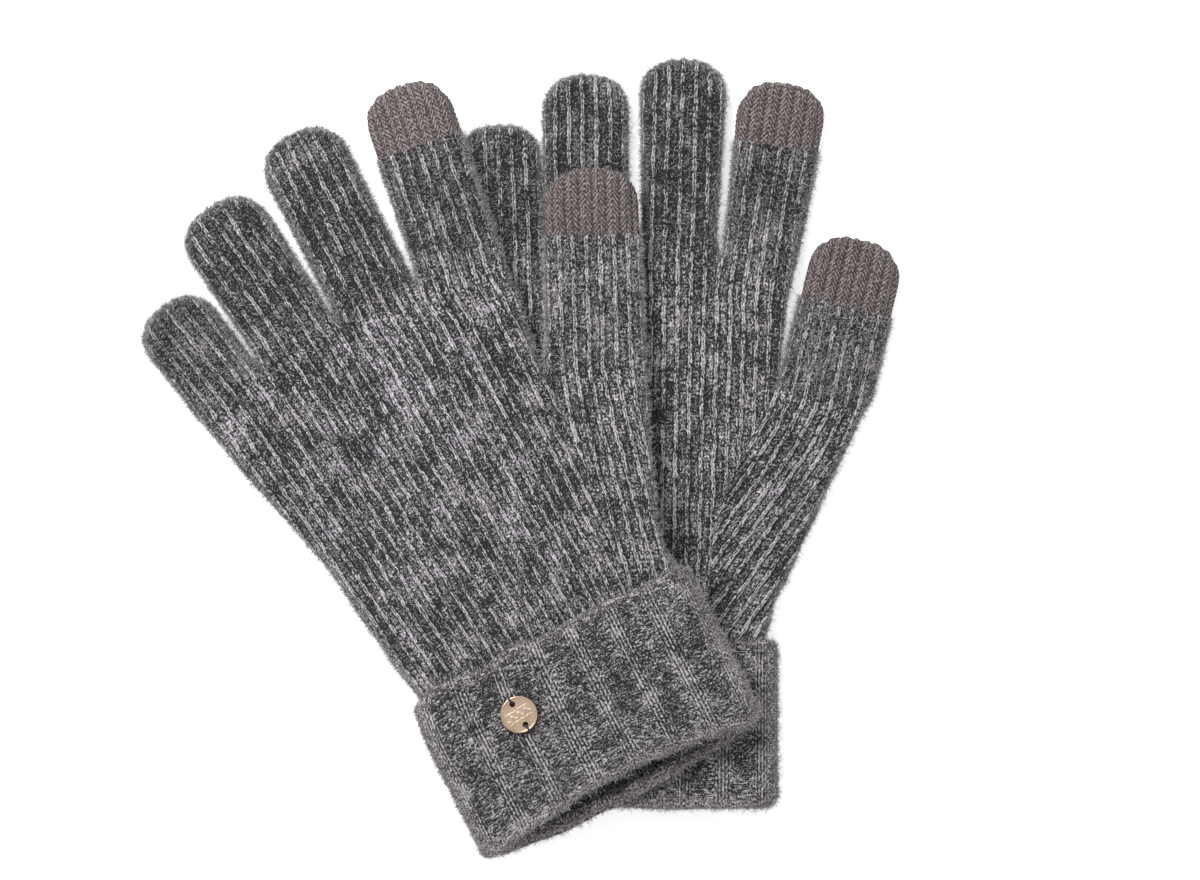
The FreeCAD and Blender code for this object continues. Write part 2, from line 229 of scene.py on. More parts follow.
# Palm edges between the cuff and the fingers, close to the CAD model's
PALM_EDGES = {
    "right": {
        "little_side": [(-13.0, -46.0), (-17.0, 0.0)],
        "thumb_crotch": (84.6, 23.4),
        "thumb_side": [(84.2, -47.5), (91.0, -33.3), (101.8, -9.5), (108.2, 4.5)],
        "thumb_seam": [(62.0, -44.0), (64.5, -18.0)],
    },
    "left": {
        "little_side": [(-40.7, -69.2), (-64.4, -35.0), (-91.8, -3.8)],
        "thumb_crotch": (7.6, 28.7),
        "thumb_side": [(47.5, -30.0), (44.9, -20.0), (42.9, 4.3)],
        "thumb_seam": [(33.0, -34.0), (24.0, -8.0)],
    },
}
# How the worn knit differs from the plain CAD fingers: millimetres off the half width at the root
# and at the tip, millimetres off the length, and degrees of lean to the right
FINGER_EASE = {
    ("right", "middle_finger"): (0.5, 0.0, 0.0, 0.0),
    ("right", "index_finger"): (1.8, 0.1, 0.0, 0.9),
    ("right", "thumb"): (0.7, 0.0, 0.0, -0.5),
    ("left", "little_finger"): (0.3, 0.5, 0.9, 0.2),
    ("left", "ring_finger"): (0.7, -0.4, -0.4, -0.8),
    ("left", "middle_finger"): (0.5, -0.3, 0.0, -1.0),
    ("left", "index_finger"): (0.0, -0.4, -0.4, -0.3),
}
WRIST_TUCK = {"right": 1.2, "left": 0.0}
# Pivot that the palm's wales fan out from: how far below the wrist, and its shift to the right
FAN = {"right": (900.0, 0.0), "left": (520.0, 30.0)}
# Where the thumb's stitches start, as a share of the wrist, and how they turn towards the thumb
SEAM_FOOT = {"right": 0.78, "left": 0.82}
THUMB_BEND = {"right": 0.36, "left": -0.22}
THUMB_BEND_LENGTH = 24.0

# A grid of points on the knitted surface, its stitch coordinates, how brushed it is (fibre haze
# with painted light on the edges) and whether it is the underside
Patch = namedtuple("Patch", "piece points stitches brushed under")
# Surface of each knitted piece, for laying fibres on: its points, quads and normals
SURFACES = {}


def smooth_step(value):
    value = np.clip(value, 0.0, 1.0)
    return value * value * (3.0 - 2.0 * value)


def unit(vector):
    return vector / np.linalg.norm(vector)


def unit_rows(vectors):
    return vectors / np.maximum(np.linalg.norm(vectors, axis=1, keepdims=True), 1e-12)


def node_points(name):
    """Vertices of a CAD node, in millimetres."""
    mesh = frame["nodes"][name].data
    points = np.empty(len(mesh.vertices) * 3)
    mesh.vertices.foreach_get("co", points)
    return points.reshape(-1, 3) / MM


class Axes:
    """A direction in plan and the one to its right, from an origin."""

    def aim(self, along):
        self.along = along
        self.across = np.array([along[1], -along[0]])

    def plan(self, along, aside):
        """Points in plan at distances along and to the right."""
        along = np.asarray(along)[..., None]
        aside = np.asarray(aside)[..., None]
        return self.origin + along * self.along + aside * self.across

    def local(self, points):
        """Distances along and to the right, of points in plan."""
        offset = points - self.origin
        return offset @ self.along, offset @ self.across


class Finger(Axes):
    """A finger's plan from its root, measured on its CAD nodes and fitted to the worn knit."""

    def __init__(self, side, name):
        stall = node_points(side + "_" + name)[:, :2]
        touch = stall[:0]
        if name in TOUCH_TIPS:
            touch = node_points(side + "_" + TOUCH_TIPS[name])[:, :2]
        cloud = np.vstack([stall, touch])
        self.aim(self.direction(side + "_" + name))
        reach = stall @ self.along
        base = stall[reach < reach.min() + ROOT_BAND] @ self.across
        self.origin = self.along * reach.min() + self.across * (base.max() + base.min()) / 2
        self.length = (cloud @ self.along).max() - reach.min()
        self.root_half = (base.max() - base.min()) / 2
        outer = cloud[(cloud - self.origin) @ self.along > OUTER_PART * self.length]
        self.tip_half = np.abs((outer - self.origin) @ self.across).max()
        self.touch_tip = 0.0
        if name in TOUCH_TIPS:
            self.touch_tip = self.length - ((touch - self.origin) @ self.along).min()
        self.ease(*FINGER_EASE.get((side, name), (0.0, 0.0, 0.0, 0.0)))

    def ease(self, root_trim, tip_trim, length_trim, lean):
        self.root_half -= root_trim
        self.tip_half -= tip_trim
        self.length -= length_trim
        lean = math.radians(lean)
        self.aim(self.along * math.cos(lean) + self.across * math.sin(lean))

    def direction(self, name):
        """The way a finger points: square to its hinge, or from its base to its knotted tip."""
        for joint in frame["joints"]:
            if joint["child"] == name:
                return unit(np.array([-joint["axis"][1], joint["axis"][0]]))
        stall = node_points(name)[:, :2]
        knot = node_points(name + "_yarn_knot")[:, :2].mean(axis=0)
        base = stall[stall[:, 1] < stall[:, 1].min() + BASE_DEPTH].mean(axis=0)
        return unit(knot - base)


class Cuff(Axes):
    """A turned-up cuff's place from its middle, measured on its CAD node."""

    def __init__(self, side):
        joint = next(j for j in frame["joints"] if j["name"] == side + "_cuff_turn_down")
        self.aim(-np.array(joint["axis"][:2]))
        cloud = node_points(side + "_turn_up_cuff")
        reach = cloud[:, :2] @ self.along
        span = cloud[:, :2] @ self.across
        self.half_length = (reach.max() - reach.min()) / 2
        self.half_width = (span.max() - span.min()) / 2
        self.origin = self.along * (reach.max() + reach.min()) / 2
        self.origin = self.origin + self.across * (span.max() + span.min()) / 2
        self.base = cloud[:, 2].min()
        self.half_thick = (cloud[:, 2].max() - self.base) / 2
        self.tube_inset = CUFF_WALL + CUFF_GAP


def underside(side, cuff, points):
    """Height of a glove's underside over the floor, at points in plan."""
    x, y = points[..., 0], points[..., 1]
    wrist_base = cuff.base + cuff.tube_inset
    station = points @ cuff.along
    if side == "right":
        wrist_end = cuff.origin @ cuff.along + cuff.half_length
        return wrist_base * smooth_step((wrist_end + PALM_RISE_LENGTH - y) / PALM_RISE_LENGTH)
    over_glove = smooth_step((x - DRAPE_FOOT_X) / (DRAPE_CREST_X - DRAPE_FOOT_X))
    level = over_glove * UPPER_REST
    climb = smooth_step((WRIST_CLIMB_FOOT - station) / (WRIST_CLIMB_FOOT - WRIST_CLIMB_CREST))
    return level + (wrist_base - level) * climb


def waves(points, length, seed):
    """Smooth irregular waves about 1 high, for soft unevenness."""
    rng = np.random.default_rng(seed)
    total = np.zeros(points.shape[:-1])
    for _ in range(WAVE_COUNT):
        angle = rng.uniform(0, 2 * math.pi)
        pitch = length * rng.uniform(0.7, 1.6)
        direction = np.array([math.cos(angle), math.sin(angle)])
        phase = points[..., :2] @ direction * 2 * math.pi / pitch
        total += np.sin(phase + rng.uniform(0, 2 * math.pi))
    return total / WAVE_SPREAD


def path_shares(points):
    """Each point's share of a path's length, from 0 to 1."""
    steps = np.linalg.norm(np.diff(points, axis=0), axis=1)
    reach = np.concatenate([[0.0], np.cumsum(steps)])
    return reach / reach[-1]


def path_length(points):
    return float(np.linalg.norm(np.diff(np.asarray(points, float), axis=0), axis=1).sum())


def resample(points, count):
    """Evenly spaced points along a path."""
    points = np.asarray(points, float)
    shares = path_shares(points)
    even = np.linspace(0, 1, count)
    return np.stack([np.interp(even, shares, points[:, axis]) for axis in (0, 1)], axis=-1)


def distance_to(points, line):
    """Distance in plan from each point to a path."""
    nearest = np.full(points.shape[:-1], 1e9)
    line = np.asarray(line, float)
    for start, end in zip(line[:-1], line[1:]):
        run = end - start
        share = np.clip(((points - start) @ run) / (run @ run), 0, 1)
        gap = np.linalg.norm(points - (start + share[..., None] * run), axis=-1)
        nearest = np.minimum(nearest, gap)
    return nearest


def edge_profile(distance):
    """Share of the full half thickness at a distance in from the edge."""
    inward = np.clip(distance / EDGE_RADIUS, 0, 1)
    return np.sqrt(np.maximum(1 - (1 - inward) ** 2, 0))


def round_edge_length(distance):
    """Extra length of fabric that the rounded edge takes, against its width in plan."""
    turn = np.arccos(np.clip(1 - distance / EDGE_RADIUS, 0, 1))
    return EDGE_RADIUS * (math.pi / 2 - turn - np.cos(turn))


def ring_half(half_width, half_thick):
    """Upper half of a flattened ring, left edge to right edge: aside, height, contour."""
    radius = min(EDGE_RADIUS, half_width)
    corner = radius * math.pi / 2
    flat = 2 * (half_width - radius)
    contour = np.linspace(0, 2 * corner + flat, COLUMNS + 1)
    mirrored = contour[-1] - contour
    near = np.minimum(contour, mirrored)
    angle = np.minimum(near, corner) / radius
    inward = radius * (1 - np.cos(angle)) + np.maximum(near - corner, 0)
    aside = np.where(contour <= contour[-1] / 2, inward - half_width, half_width - inward)
    return aside, half_thick * np.sin(angle), contour - contour[-1] / 2


def coons(left, right, bottom, top, shares):
    """Points of a patch between four edges. shares is each column's place, row by row."""
    rise = np.linspace(0, 1, len(left))[:, None, None]
    share = shares[..., None]
    sides = (1 - share) * left[:, None] + share * right[:, None]
    ends = (1 - rise) * bottom[None] + rise * top[None]
    corners = (1 - rise) * ((1 - share) * bottom[0] + share * bottom[-1])
    corners = corners + rise * ((1 - share) * top[0] + share * top[-1])
    return sides + ends - corners


def wrist_shares(count, left_side):
    """Places along the wrist, crowded towards the folded edge of the fabric."""
    even = np.linspace(0, 1, count)
    near_edge = even if left_side else 1 - even
    moved = near_edge - WRIST_CROWDING * np.exp(-near_edge / WRIST_CROWDING)
    moved = (moved - moved[0 if left_side else -1]) / (1 + WRIST_CROWDING)
    moved = moved / moved.max()
    return moved if left_side else 1 - moved


def fill_palm(left, right, top, left_side):
    """Points of a stretch of the palm between its edges, row by row from the wrist up."""
    wrist_share = wrist_shares(len(top), left_side)
    bottom = right[0] * wrist_share[:, None] + left[0] * (1 - wrist_share[:, None])
    rise = np.linspace(0, 1, len(left))[:, None]
    shares = (1 - rise) * wrist_share[None] + rise * path_shares(top)[None]
    return coons(left, right, bottom, top, shares)


def finger_rows(finger):
    """Each row's place along a finger, and how far its rounded end has turned over there.
    Also the place where that end starts, and the row where the touch tip starts."""
    depth = finger.tip_half * CROWN_DEPTH
    shoulder = finger.length - depth
    touch_start = min(finger.length - finger.touch_tip, shoulder)
    places = list(np.linspace(0, touch_start, int(touch_start / ROW_STEP) + 1))
    touch_row = len(places) - 1
    if shoulder > touch_start + ROW_STEP:
        count = int((shoulder - touch_start) / ROW_STEP) + 1
        places += list(np.linspace(touch_start, shoulder, count)[1:])
    rows = [(along, 0.0) for along in places]
    for turn in np.linspace(0, math.pi / 2, int(depth * 1.5 / ROW_STEP))[1:]:
        rows.append((shoulder + depth * math.sin(turn) ** CROWN_RISE, turn))
    return rows, shoulder, touch_row


class Glove:
    """One glove's knitted surface, before it is cut into pieces."""

    def __init__(self, side):
        self.side = side
        self.cuff = Cuff(side)
        self.fingers = {name: Finger(side, name) for name in FINGER_NAMES}
        fan_depth, fan_shift = FAN[side]
        self.pivot = self.cuff.plan(-fan_depth, fan_shift)
        self.patches = []
        self.measure_palm(PALM_EDGES[side])
        self.knit_palm()
        self.knit_thumb_side()

    def measure_palm(self, edges):
        """The palm's edges in plan, and the joints between its fingers' roots."""
        half_tube = self.cuff.half_width - self.cuff.tube_inset
        wrist_along = self.cuff.half_length - HAND_INTO_CUFF
        wrist_left = self.cuff.plan(wrist_along, -half_tube)
        wrist_right = self.cuff.plan(wrist_along, half_tube - WRIST_TUCK[self.side])
        crotch = np.array(edges["thumb_crotch"])
        ends = []
        for name in FINGER_NAMES[:4]:
            finger = self.fingers[name]
            ends.append([finger.plan(0, -finger.root_half), finger.plan(0, finger.root_half)])
        between = [(before[1] + after[0]) / 2 for before, after in zip(ends[:-1], ends[1:])]
        self.joints = [ends[0][0]] + between + [ends[-1][1]]
        thumb = self.fingers["thumb"]
        self.thumb_corners = crotch, thumb.plan(0, thumb.root_half)
        foot = wrist_left + SEAM_FOOT[self.side] * (wrist_right - wrist_left)
        seam = [foot] + edges["thumb_seam"] + [crotch]
        self.seam_points = resample(seam, int(path_length(seam) / ROW_STEP) + 1)
        self.little_side = [wrist_left] + edges["little_side"] + [self.joints[0]]
        self.index_side = [crotch, self.joints[-1]]
        self.thumb_side = [wrist_right] + edges["thumb_side"] + [self.thumb_corners[1]]
        self.outline = [self.little_side, self.index_side]
        self.outline += [[point, point + 0.01] for point in between]
        self.outline.append(self.thumb_side)

    def knit_palm(self):
        """The palm below the four fingers, with the fingers on it."""
        top = []
        for index, name in enumerate(FINGER_NAMES[:4]):
            run = self.root_line(name, *self.joints[index:index + 2])
            top.append(run if index == 0 else run[1:])
        rows_above = max(int(path_length(self.index_side) / ROW_STEP), 4)
        above = resample(self.index_side, rows_above + 1)
        right = np.vstack([self.seam_points, above[1:]])
        left = resample(self.little_side, len(right))
        plan = fill_palm(left, right, np.vstack(top), True)
        for index, name in enumerate(FINGER_NAMES[:4]):
            self.knit_block(name, plan[:, index * COLUMNS:(index + 1) * COLUMNS + 1])

    def knit_thumb_side(self):
        """The palm below the thumb, with the thumb on it."""
        right = resample(self.thumb_side, len(self.seam_points))
        top = self.root_line("thumb", *self.thumb_corners)
        self.knit_block("thumb", fill_palm(self.seam_points, right, top, False))

    def root_line(self, name, start, end):
        """Points between the corners of a finger's root, spaced as round the finger."""
        half = self.fingers[name].root_half
        share = (ring_half(half, HALF_THICK)[0] / half + 1) / 2
        return start + share[:, None] * (end - start)

    def palm_stitches(self, points):
        """Stitch coordinates that fan out from the wrist: across the wales, and along them."""
        offset = points - self.pivot
        radius = np.linalg.norm(offset, axis=-1)
        middle = self.fingers["middle_finger"].origin - self.pivot
        angle = np.arctan2(offset @ self.cuff.across, offset @ self.cuff.along)
        reference = np.linalg.norm(middle)
        return np.stack([angle * reference, radius - reference], axis=-1)

    def finger_stitches(self, finger, along, aside):
        start = self.palm_stitches(finger.origin)
        return np.stack([start[0] + aside, start[1] + along], axis=-1)

    def thumb_stitches(self, plan):
        """Stitch coordinates on the thumb's side of the palm, which turn towards its seam."""
        thumb = self.fingers["thumb"]
        along, aside = thumb.local(plan)
        down = np.minimum(along, 0)
        ease = 1 - np.exp(down / THUMB_BEND_LENGTH)
        aside = aside - THUMB_BEND[self.side] * down * ease
        return self.finger_stitches(thumb, along, aside)

    def knit_block(self, name, plan):
        """The stretch of the palm below a finger, then the finger on its last row."""
        finger = self.fingers[name]
        distance = np.full(plan.shape[:-1], 1e9)
        for line in self.outline:
            distance = np.minimum(distance, distance_to(plan, line))
        along, aside = finger.local(plan)
        towards = smooth_step((along + PATTERN_BLEND) / PATTERN_BLEND)[..., None]
        if name == "thumb":
            stitches = self.thumb_stitches(plan)
        else:
            own = self.finger_stitches(finger, along, aside)
            stitches = self.palm_stitches(plan) * (1 - towards) + own * towards
        outward = np.where(distance_to(plan, self.outline[0]) <= distance, -1.0, 1.0)
        stitches[..., 0] += outward * round_edge_length(distance) * (1 - towards[..., 0])
        self.add_patch("hand", plan, edge_profile(distance), stitches)
        self.knit_finger(name, plan[-1])

    def knit_finger(self, name, root_row):
        """Rows round a finger from its root row to its tip, cut where the touch tip starts."""
        finger = self.fingers[name]
        rows, shoulder, touch_row = finger_rows(finger)
        root_along, root_aside = finger.local(root_row)
        plan, thickness, stitches = [], [], []
        for along, turn in rows:
            share = min(along / shoulder, 1.0)
            half_width = finger.root_half + (finger.tip_half - finger.root_half) * share
            left_over = max(math.cos(turn), 0)
            half_width = max(half_width * left_over ** TIP_SQUARENESS, 0.02)
            aside, height, contour = ring_half(half_width, left_over ** CROWN_THINNING)
            settle = smooth_step(along / ROOT_BLEND)
            start = root_row + along * finger.along
            plan.append(start * (1 - settle) + finger.plan(along, aside) * settle)
            thickness.append(height)
            own = aside * (1 - settle) + contour * settle
            aside_now = root_aside * (1 - settle) + own * settle
            along_now = root_along * (1 - settle) + along
            stitches.append(self.finger_stitches(finger, along_now, aside_now))
        grids = [np.array(grid) for grid in (plan, thickness, stitches)]
        if finger.touch_tip:
            self.add_patch(name, *[grid[:touch_row + 1] for grid in grids])
            self.add_patch(TOUCH_TIPS[name], *[grid[touch_row:] for grid in grids])
        else:
            self.add_patch(name, *grids)

    def add_patch(self, part, plan, thickness, stitches):
        """Adds the upper and the lower face of a stretch of the glove. thickness is a share."""
        wobble = UPPER_WOBBLE * waves(plan, WOBBLE_LENGTH, WOBBLE_SEED) * thickness
        middle = underside(self.side, self.cuff, plan) + HALF_THICK + FLOOR_GAP
        half = HALF_THICK * thickness
        # Brushed share at the edges: fibre haze, and painted light on the rounded edges that lie in
        # shade
        from_edge = 1 - np.sqrt(np.maximum(1 - thickness ** 2, 0))
        brushed = 1 - smooth_step(from_edge / BRUSHED_AND_LIT_SHARE)
        for height, under in ((middle + half + wobble, False), (middle - half, True)):
            points = np.concatenate([plan, height[..., None]], axis=-1)
            self.patches.append(Patch(self.side + "_" + part, points, stitches, brushed, under))


def rib_relief(stitches, touch):
    """Height of the knitted ribs and their stitches, from 0 to about 1."""
    place = stitches[..., 0] / WALE_PITCH
    place = place - np.floor(place) - 0.5
    rib = 0.5 + 0.5 * np.cos(2 * math.pi * place)
    pitch = np.where(touch, TOUCH_COURSE_PITCH, COURSE_PITCH)
    stitch = 0.5 + 0.5 * np.cos(2 * math.pi * (stitches[..., 1] / pitch + 1.6 * np.abs(place)))
    return 0.62 * rib + 0.38 * rib * stitch


def diagonal_cross(corners):
    """Cross product of each quad's diagonals, along its normal."""
    return np.cross(corners[:, 2] - corners[:, 0], corners[:, 3] - corners[:, 1])


def vertex_normals(points, quads):
    face = diagonal_cross(points[quads])
    normals = np.zeros_like(points)
    for corner in range(4):
        np.add.at(normals, quads[:, corner], face)
    return unit_rows(normals)


def weld(points):
    """Index of each point among the distinct ones, and the distinct points."""
    keys = np.round(points / WELD_GRID).astype(np.int64)
    _, first, inverse = np.unique(keys, axis=0, return_index=True, return_inverse=True)
    return inverse.reshape(-1), points[first]


def grid_quads(rows, columns, start, flip):
    index = np.arange(rows * columns).reshape(rows, columns) + start
    quads = np.stack([index[:-1, :-1], index[:-1, 1:], index[1:, 1:], index[1:, :-1]], axis=-1)
    quads = quads.reshape(-1, 4)
    return quads[:, ::-1] if flip else quads


def raised(points, quads, relief):
    """Points moved out along their normals by a relief, and kept above the floor."""
    points = points + vertex_normals(points, quads) * relief[:, None]
    points[:, 2] = np.maximum(points[:, 2], LOWEST)
    return points


def link_object(name, data):
    holder = bpy.data.objects.new(name, data)
    bpy.context.scene.collection.objects.link(holder)
    return holder


def link_mesh(name, points, faces):
    """A smooth mesh object from points in millimetres."""
    mesh = bpy.data.meshes.new(name)
    mesh.from_pydata((points * MM).tolist(), [], faces)
    mesh.polygons.foreach_set("use_smooth", np.ones(len(faces), bool))
    mesh.update()
    return link_object(name, mesh)


def mesh_object(name, points, quads, stitches, brushed=None):
    """A mesh piece from points in millimetres, with its stitch coordinates as a UV map."""
    corners = quads.tolist()
    faces = [list(dict.fromkeys(quad)) for quad in corners]
    piece = link_mesh(name, points, faces)
    loops = []
    for quad, face, values in zip(corners, faces, stitches):
        loops.extend(values[quad.index(corner)] for corner in face)
    layer = piece.data.uv_layers.new(name="stitches")
    layer.data.foreach_set("uv", (np.array(loops) / STITCH_UV_SCALE).ravel())
    # The brushed attribute holds the fibre haze share, which also paints light on shaded edges
    if brushed is not None:
        worn = piece.data.attributes.new("brushed", "FLOAT", "POINT")
        worn.data.foreach_set("value", np.clip(brushed, 0, 1))
    SURFACES[name] = (points, quads, vertex_normals(points, quads))
    return piece


def joined(glove, values, width):
    """One value of all a glove's patches, as rows of a width."""
    return np.vstack([values(patch).reshape(-1, width) for patch in glove.patches])


def build_glove_pieces(glove):
    """Welds a glove's patches, raises its ribs and cuts it into pieces. Returns them by name."""
    names = list(dict.fromkeys(patch.piece for patch in glove.patches))
    faces, piece_of = [], []
    start = 0
    for patch in glove.patches:
        rows, columns = patch.brushed.shape
        faces.append(grid_quads(rows, columns, start, patch.under))
        piece_of.append(np.full(len(faces[-1]), names.index(patch.piece)))
        start += rows * columns
    faces = np.vstack(faces)
    piece_of = np.concatenate(piece_of)
    stitches = joined(glove, lambda patch: patch.stitches, 2)
    touch = joined(glove, lambda patch: np.full(patch.brushed.shape, "touch" in patch.piece), 1)
    inverse, points = weld(joined(glove, lambda patch: patch.points, 3))
    relief = np.zeros(len(points))
    np.add.at(relief, inverse, rib_relief(stitches, touch[:, 0]))
    relief /= np.bincount(inverse)
    # Brushed share: fibre haze with painted light on shaded edges
    brushed = np.zeros(len(points))
    brushed[inverse] = joined(glove, lambda patch: patch.brushed, 1)[:, 0]
    quads = inverse[faces]
    points = raised(points, quads, RELIEF * (relief - 0.5))
    normals = vertex_normals(points, quads)
    made = {}
    for number, name in enumerate(names):
        own = piece_of == number
        used, local = np.unique(quads[own], return_inverse=True)
        local = local.reshape(-1, 4)
        piece = mesh_object(name + "_knit", points[used], local, stitches[faces[own]], brushed[used])
        piece.data.normals_split_custom_set_from_vertices(normals[used].tolist())
        made[name] = piece
    return made


def stadium(half_width, half_thick, columns):
    """Places round a flattened tube: aside, height, outward direction and contour from the top."""
    flat = half_width - half_thick
    arc = math.pi * half_thick
    contour = np.linspace(-(2 * flat + arc), 2 * flat + arc, columns + 1)
    reach = np.abs(contour)
    turn = np.clip((reach - flat) / half_thick, 0, math.pi)
    past = np.clip(reach - flat - arc, 0, None)
    aside = np.minimum(reach, flat) + half_thick * np.sin(turn) - past
    outward = np.stack([np.sign(contour) * np.sin(turn), np.cos(turn)], axis=-1)
    return np.sign(contour) * aside, half_thick * np.cos(turn), outward, contour


def stadium_length(half_width, half_thick):
    return 4 * (half_width - half_thick) + 2 * math.pi * half_thick


def round_corner(start, end, count):
    """Quarter turn between two points of a wall profile, leaving start along the first axis."""
    turn = np.linspace(0, math.pi / 2, count)[:, None]
    start, end = np.array(start), np.array(end)
    return start + (end - start) * np.hstack([np.sin(turn), 1 - np.cos(turn)])


def wall_profile(sections, step):
    """Closed wall profile from its corner points, resampled evenly: along and depth, and path."""
    corners = np.vstack(sections)
    corners = np.vstack([corners, corners[:1]])
    length = path_length(corners)
    count = int(length / step) + 1
    return resample(corners, count), np.linspace(0, length, count)


def no_shift(along, across_share, up):
    return 0.0


def sweep_wall(cuff, half_width, half_thick, profile, columns, rim_shift, spread):
    """Points of a closed wall profile carried round a flattened tube on a cuff's axes."""
    aside, height, outward, contour = stadium(half_width, half_thick, columns)
    along = profile[:, 0][:, None] * (1 - CORNER_EASE * outward[:, 0] ** 2)[None]
    depth = profile[:, 1][:, None]
    side = aside[None] - outward[:, 0][None] * depth
    near_side = smooth_step(0.5 - side / half_width)
    side = side - spread * near_side * smooth_step(1.35 - along / cuff.half_length)
    rise = height[None] - outward[:, 1][None] * depth
    along = along + rim_shift(along, side / half_width, outward[:, 1][None])
    plan = cuff.plan(along, side)
    ripple = CUFF_RIPPLE * waves(plan, RIPPLE_LENGTH, RIPPLE_SEED)
    level = cuff.base + cuff.half_thick + rise * (1 + 0.1 * ripple)
    plan = plan + ripple[..., None] * cuff.along * np.sign(along)[..., None]
    return np.concatenate([plan, level[..., None]], axis=-1), contour


def wide_rib_relief(contour, path):
    """Height of the cuff's purl panels and of the strands between them, from 0 to 1."""
    pitch = CUFF_RIB_PITCH
    place = contour / pitch - np.floor(contour / pitch) - 0.5
    aside = np.abs(place) * pitch
    strands = 0.5 + 0.5 * np.cos(2 * math.pi * place * pitch / STRAND_PITCH)
    in_group = 1 - smooth_step((aside - STRAND_GROUP / 2 + 0.6) / 1.2)
    bow = 0.35 * np.cos(2 * math.pi * place * pitch / 3.1)
    loops = 0.5 + 0.5 * np.cos(2 * math.pi * (path / LOOP_PITCH + bow))
    dome = np.sqrt(np.clip((aside - STRAND_GROUP / 2) / (pitch / 2 - STRAND_GROUP / 2), 0, 1))
    panel = 0.55 + 0.25 * dome + 0.2 * loops
    return in_group * (0.25 + 0.35 * strands) + (1 - in_group) * panel


def swept_object(name, cloud, contour, path, relief, brushed):
    """A swept wall as a mesh piece, with its relief raised and its seams welded."""
    rows, columns = cloud.shape[:2]
    faces = grid_quads(rows, columns, 0, True)
    stitches = np.stack(np.broadcast_arrays(contour[None], path[:, None]), axis=-1).reshape(-1, 2)
    inverse, points = weld(cloud.reshape(-1, 3))
    quads = inverse[faces]
    # brushed carries the fibre haze share and the painted light on rims and sides
    welded = np.zeros((len(points), 2))
    welded[inverse] = np.stack([relief.reshape(-1), brushed.reshape(-1)], axis=-1)
    points = raised(points, quads, welded[:, 0])
    piece = mesh_object(name, points, quads, stitches[faces], welded[:, 1])
    normals = vertex_normals(points, quads)
    piece.data.normals_split_custom_set_from_vertices(normals.tolist())
    return piece


def turn_up_sections(half):
    """The cuff's wall: outer face, rolled rim at the mouth, lip, inner face and rounded end."""
    bend = -half + CUFF_ROLL
    lip = -half + CUFF_LIP
    return [
        [(half - END_ROUND, 0.0), (bend, 0.0)],
        round_corner((bend, 0.0), (-half, CUFF_ROLL), 8),
        round_corner((-half, CUFF_LIP - LIP_ROUND), (-half + LIP_ROUND, CUFF_LIP), 8),
        [(lip, CUFF_LIP), (lip, CUFF_WALL), (half - END_ROUND, CUFF_WALL)],
        [(half - 0.4, CUFF_WALL - 0.5), (half, CUFF_WALL / 2), (half - 0.4, 0.5)],
    ]


def make_turn_up(cuff, side):
    """The turned-up cuff, with its mouth a little open."""
    half = cuff.half_length
    profile, path = wall_profile(turn_up_sections(half), CUFF_STEP)
    front, back = CUFF_OPENING[side]

    def rim_shift(along, across_share, up):
        arch = np.sin(math.pi * np.clip((across_share + 1) / 2, 0, 1))
        shift = np.where(up > 0, front * arch, -back * arch ** 0.7)
        near_rim = smooth_step((RIM_REACH - half - along) / RIM_REACH)
        return shift * np.abs(up) ** 0.5 * near_rim

    span = stadium_length(cuff.half_width, cuff.half_thick)
    columns = int(span / CUFF_STEP)
    cloud, contour = sweep_wall(
        cuff, cuff.half_width, cuff.half_thick, profile, columns, rim_shift, CUFF_SPREAD[side]
    )
    fit = CUFF_RIB_PITCH * round(span / CUFF_RIB_PITCH) / span
    contour = (contour + CUFF_RIB_SHIFT[side]) * fit
    outer = (1 - smooth_step(profile[:, 1] / CUFF_RELIEF_DEPTH))[:, None]
    relief = wide_rib_relief(contour[None], path[:, None]) - CUFF_RELIEF_LEVEL
    relief = CUFF_RELIEF * relief * outer
    # Brushed share: fibre haze on the rims, and painted light on the rims and on the sides that face
    # away from the key light
    to_end = half - np.abs(profile[:, 0])
    end_share = np.where(profile[:, 0] < 0, 1.0, WRIST_END_BRUSHED_AND_LIT)
    end_haze_and_light = (1 - smooth_step(to_end / RIM_BRUSHED_AND_LIT)) * end_share
    sideways = np.abs(stadium(cuff.half_width, cuff.half_thick, columns)[2][:, 0])
    side_haze_and_light = SIDE_BRUSHED_AND_LIT * smooth_step((sideways - 0.15) / 0.8)
    brushed = np.maximum(end_haze_and_light[:, None], side_haze_and_light[None])
    return swept_object(side + "_turn_up_cuff_knit", cloud, contour, path, relief, brushed)


def make_wrist_tube(cuff, side):
    """The ribbed tube inside the cuff, which shows when the cuff is turned down."""
    low = -cuff.half_length + CUFF_LIP + CUFF_GAP
    high = cuff.half_length - HAND_INTO_CUFF
    end = high + TUBE_INTO_HAND
    outside = [(end, 1.5), (high, TUBE_OUTER_DEPTH), (low, TUBE_OUTER_DEPTH)]
    inside = [(low, TUBE_INNER_DEPTH), (end, TUBE_INNER_DEPTH + 0.3)]
    profile, path = wall_profile([outside, inside], 2 * CUFF_STEP)
    half_width = cuff.half_width - cuff.tube_inset
    half_thick = cuff.half_thick - cuff.tube_inset
    columns = int(stadium_length(half_width, half_thick) / CUFF_STEP)
    cloud, contour = sweep_wall(cuff, half_width, half_thick, profile, columns, no_shift, 0.0)
    outer = (1 - smooth_step((profile[:, 1] - TUBE_OUTER_DEPTH) / 0.8))[:, None]
    relief = TUBE_RELIEF * np.cos(2 * math.pi * contour / WALE_PITCH)[None] * outer
    below_hand = path - path[-1]
    unbrushed = np.zeros(cloud.shape[:2])
    return swept_object(side + "_wrist_rib_knit", cloud, contour, below_hand, relief, unbrushed)


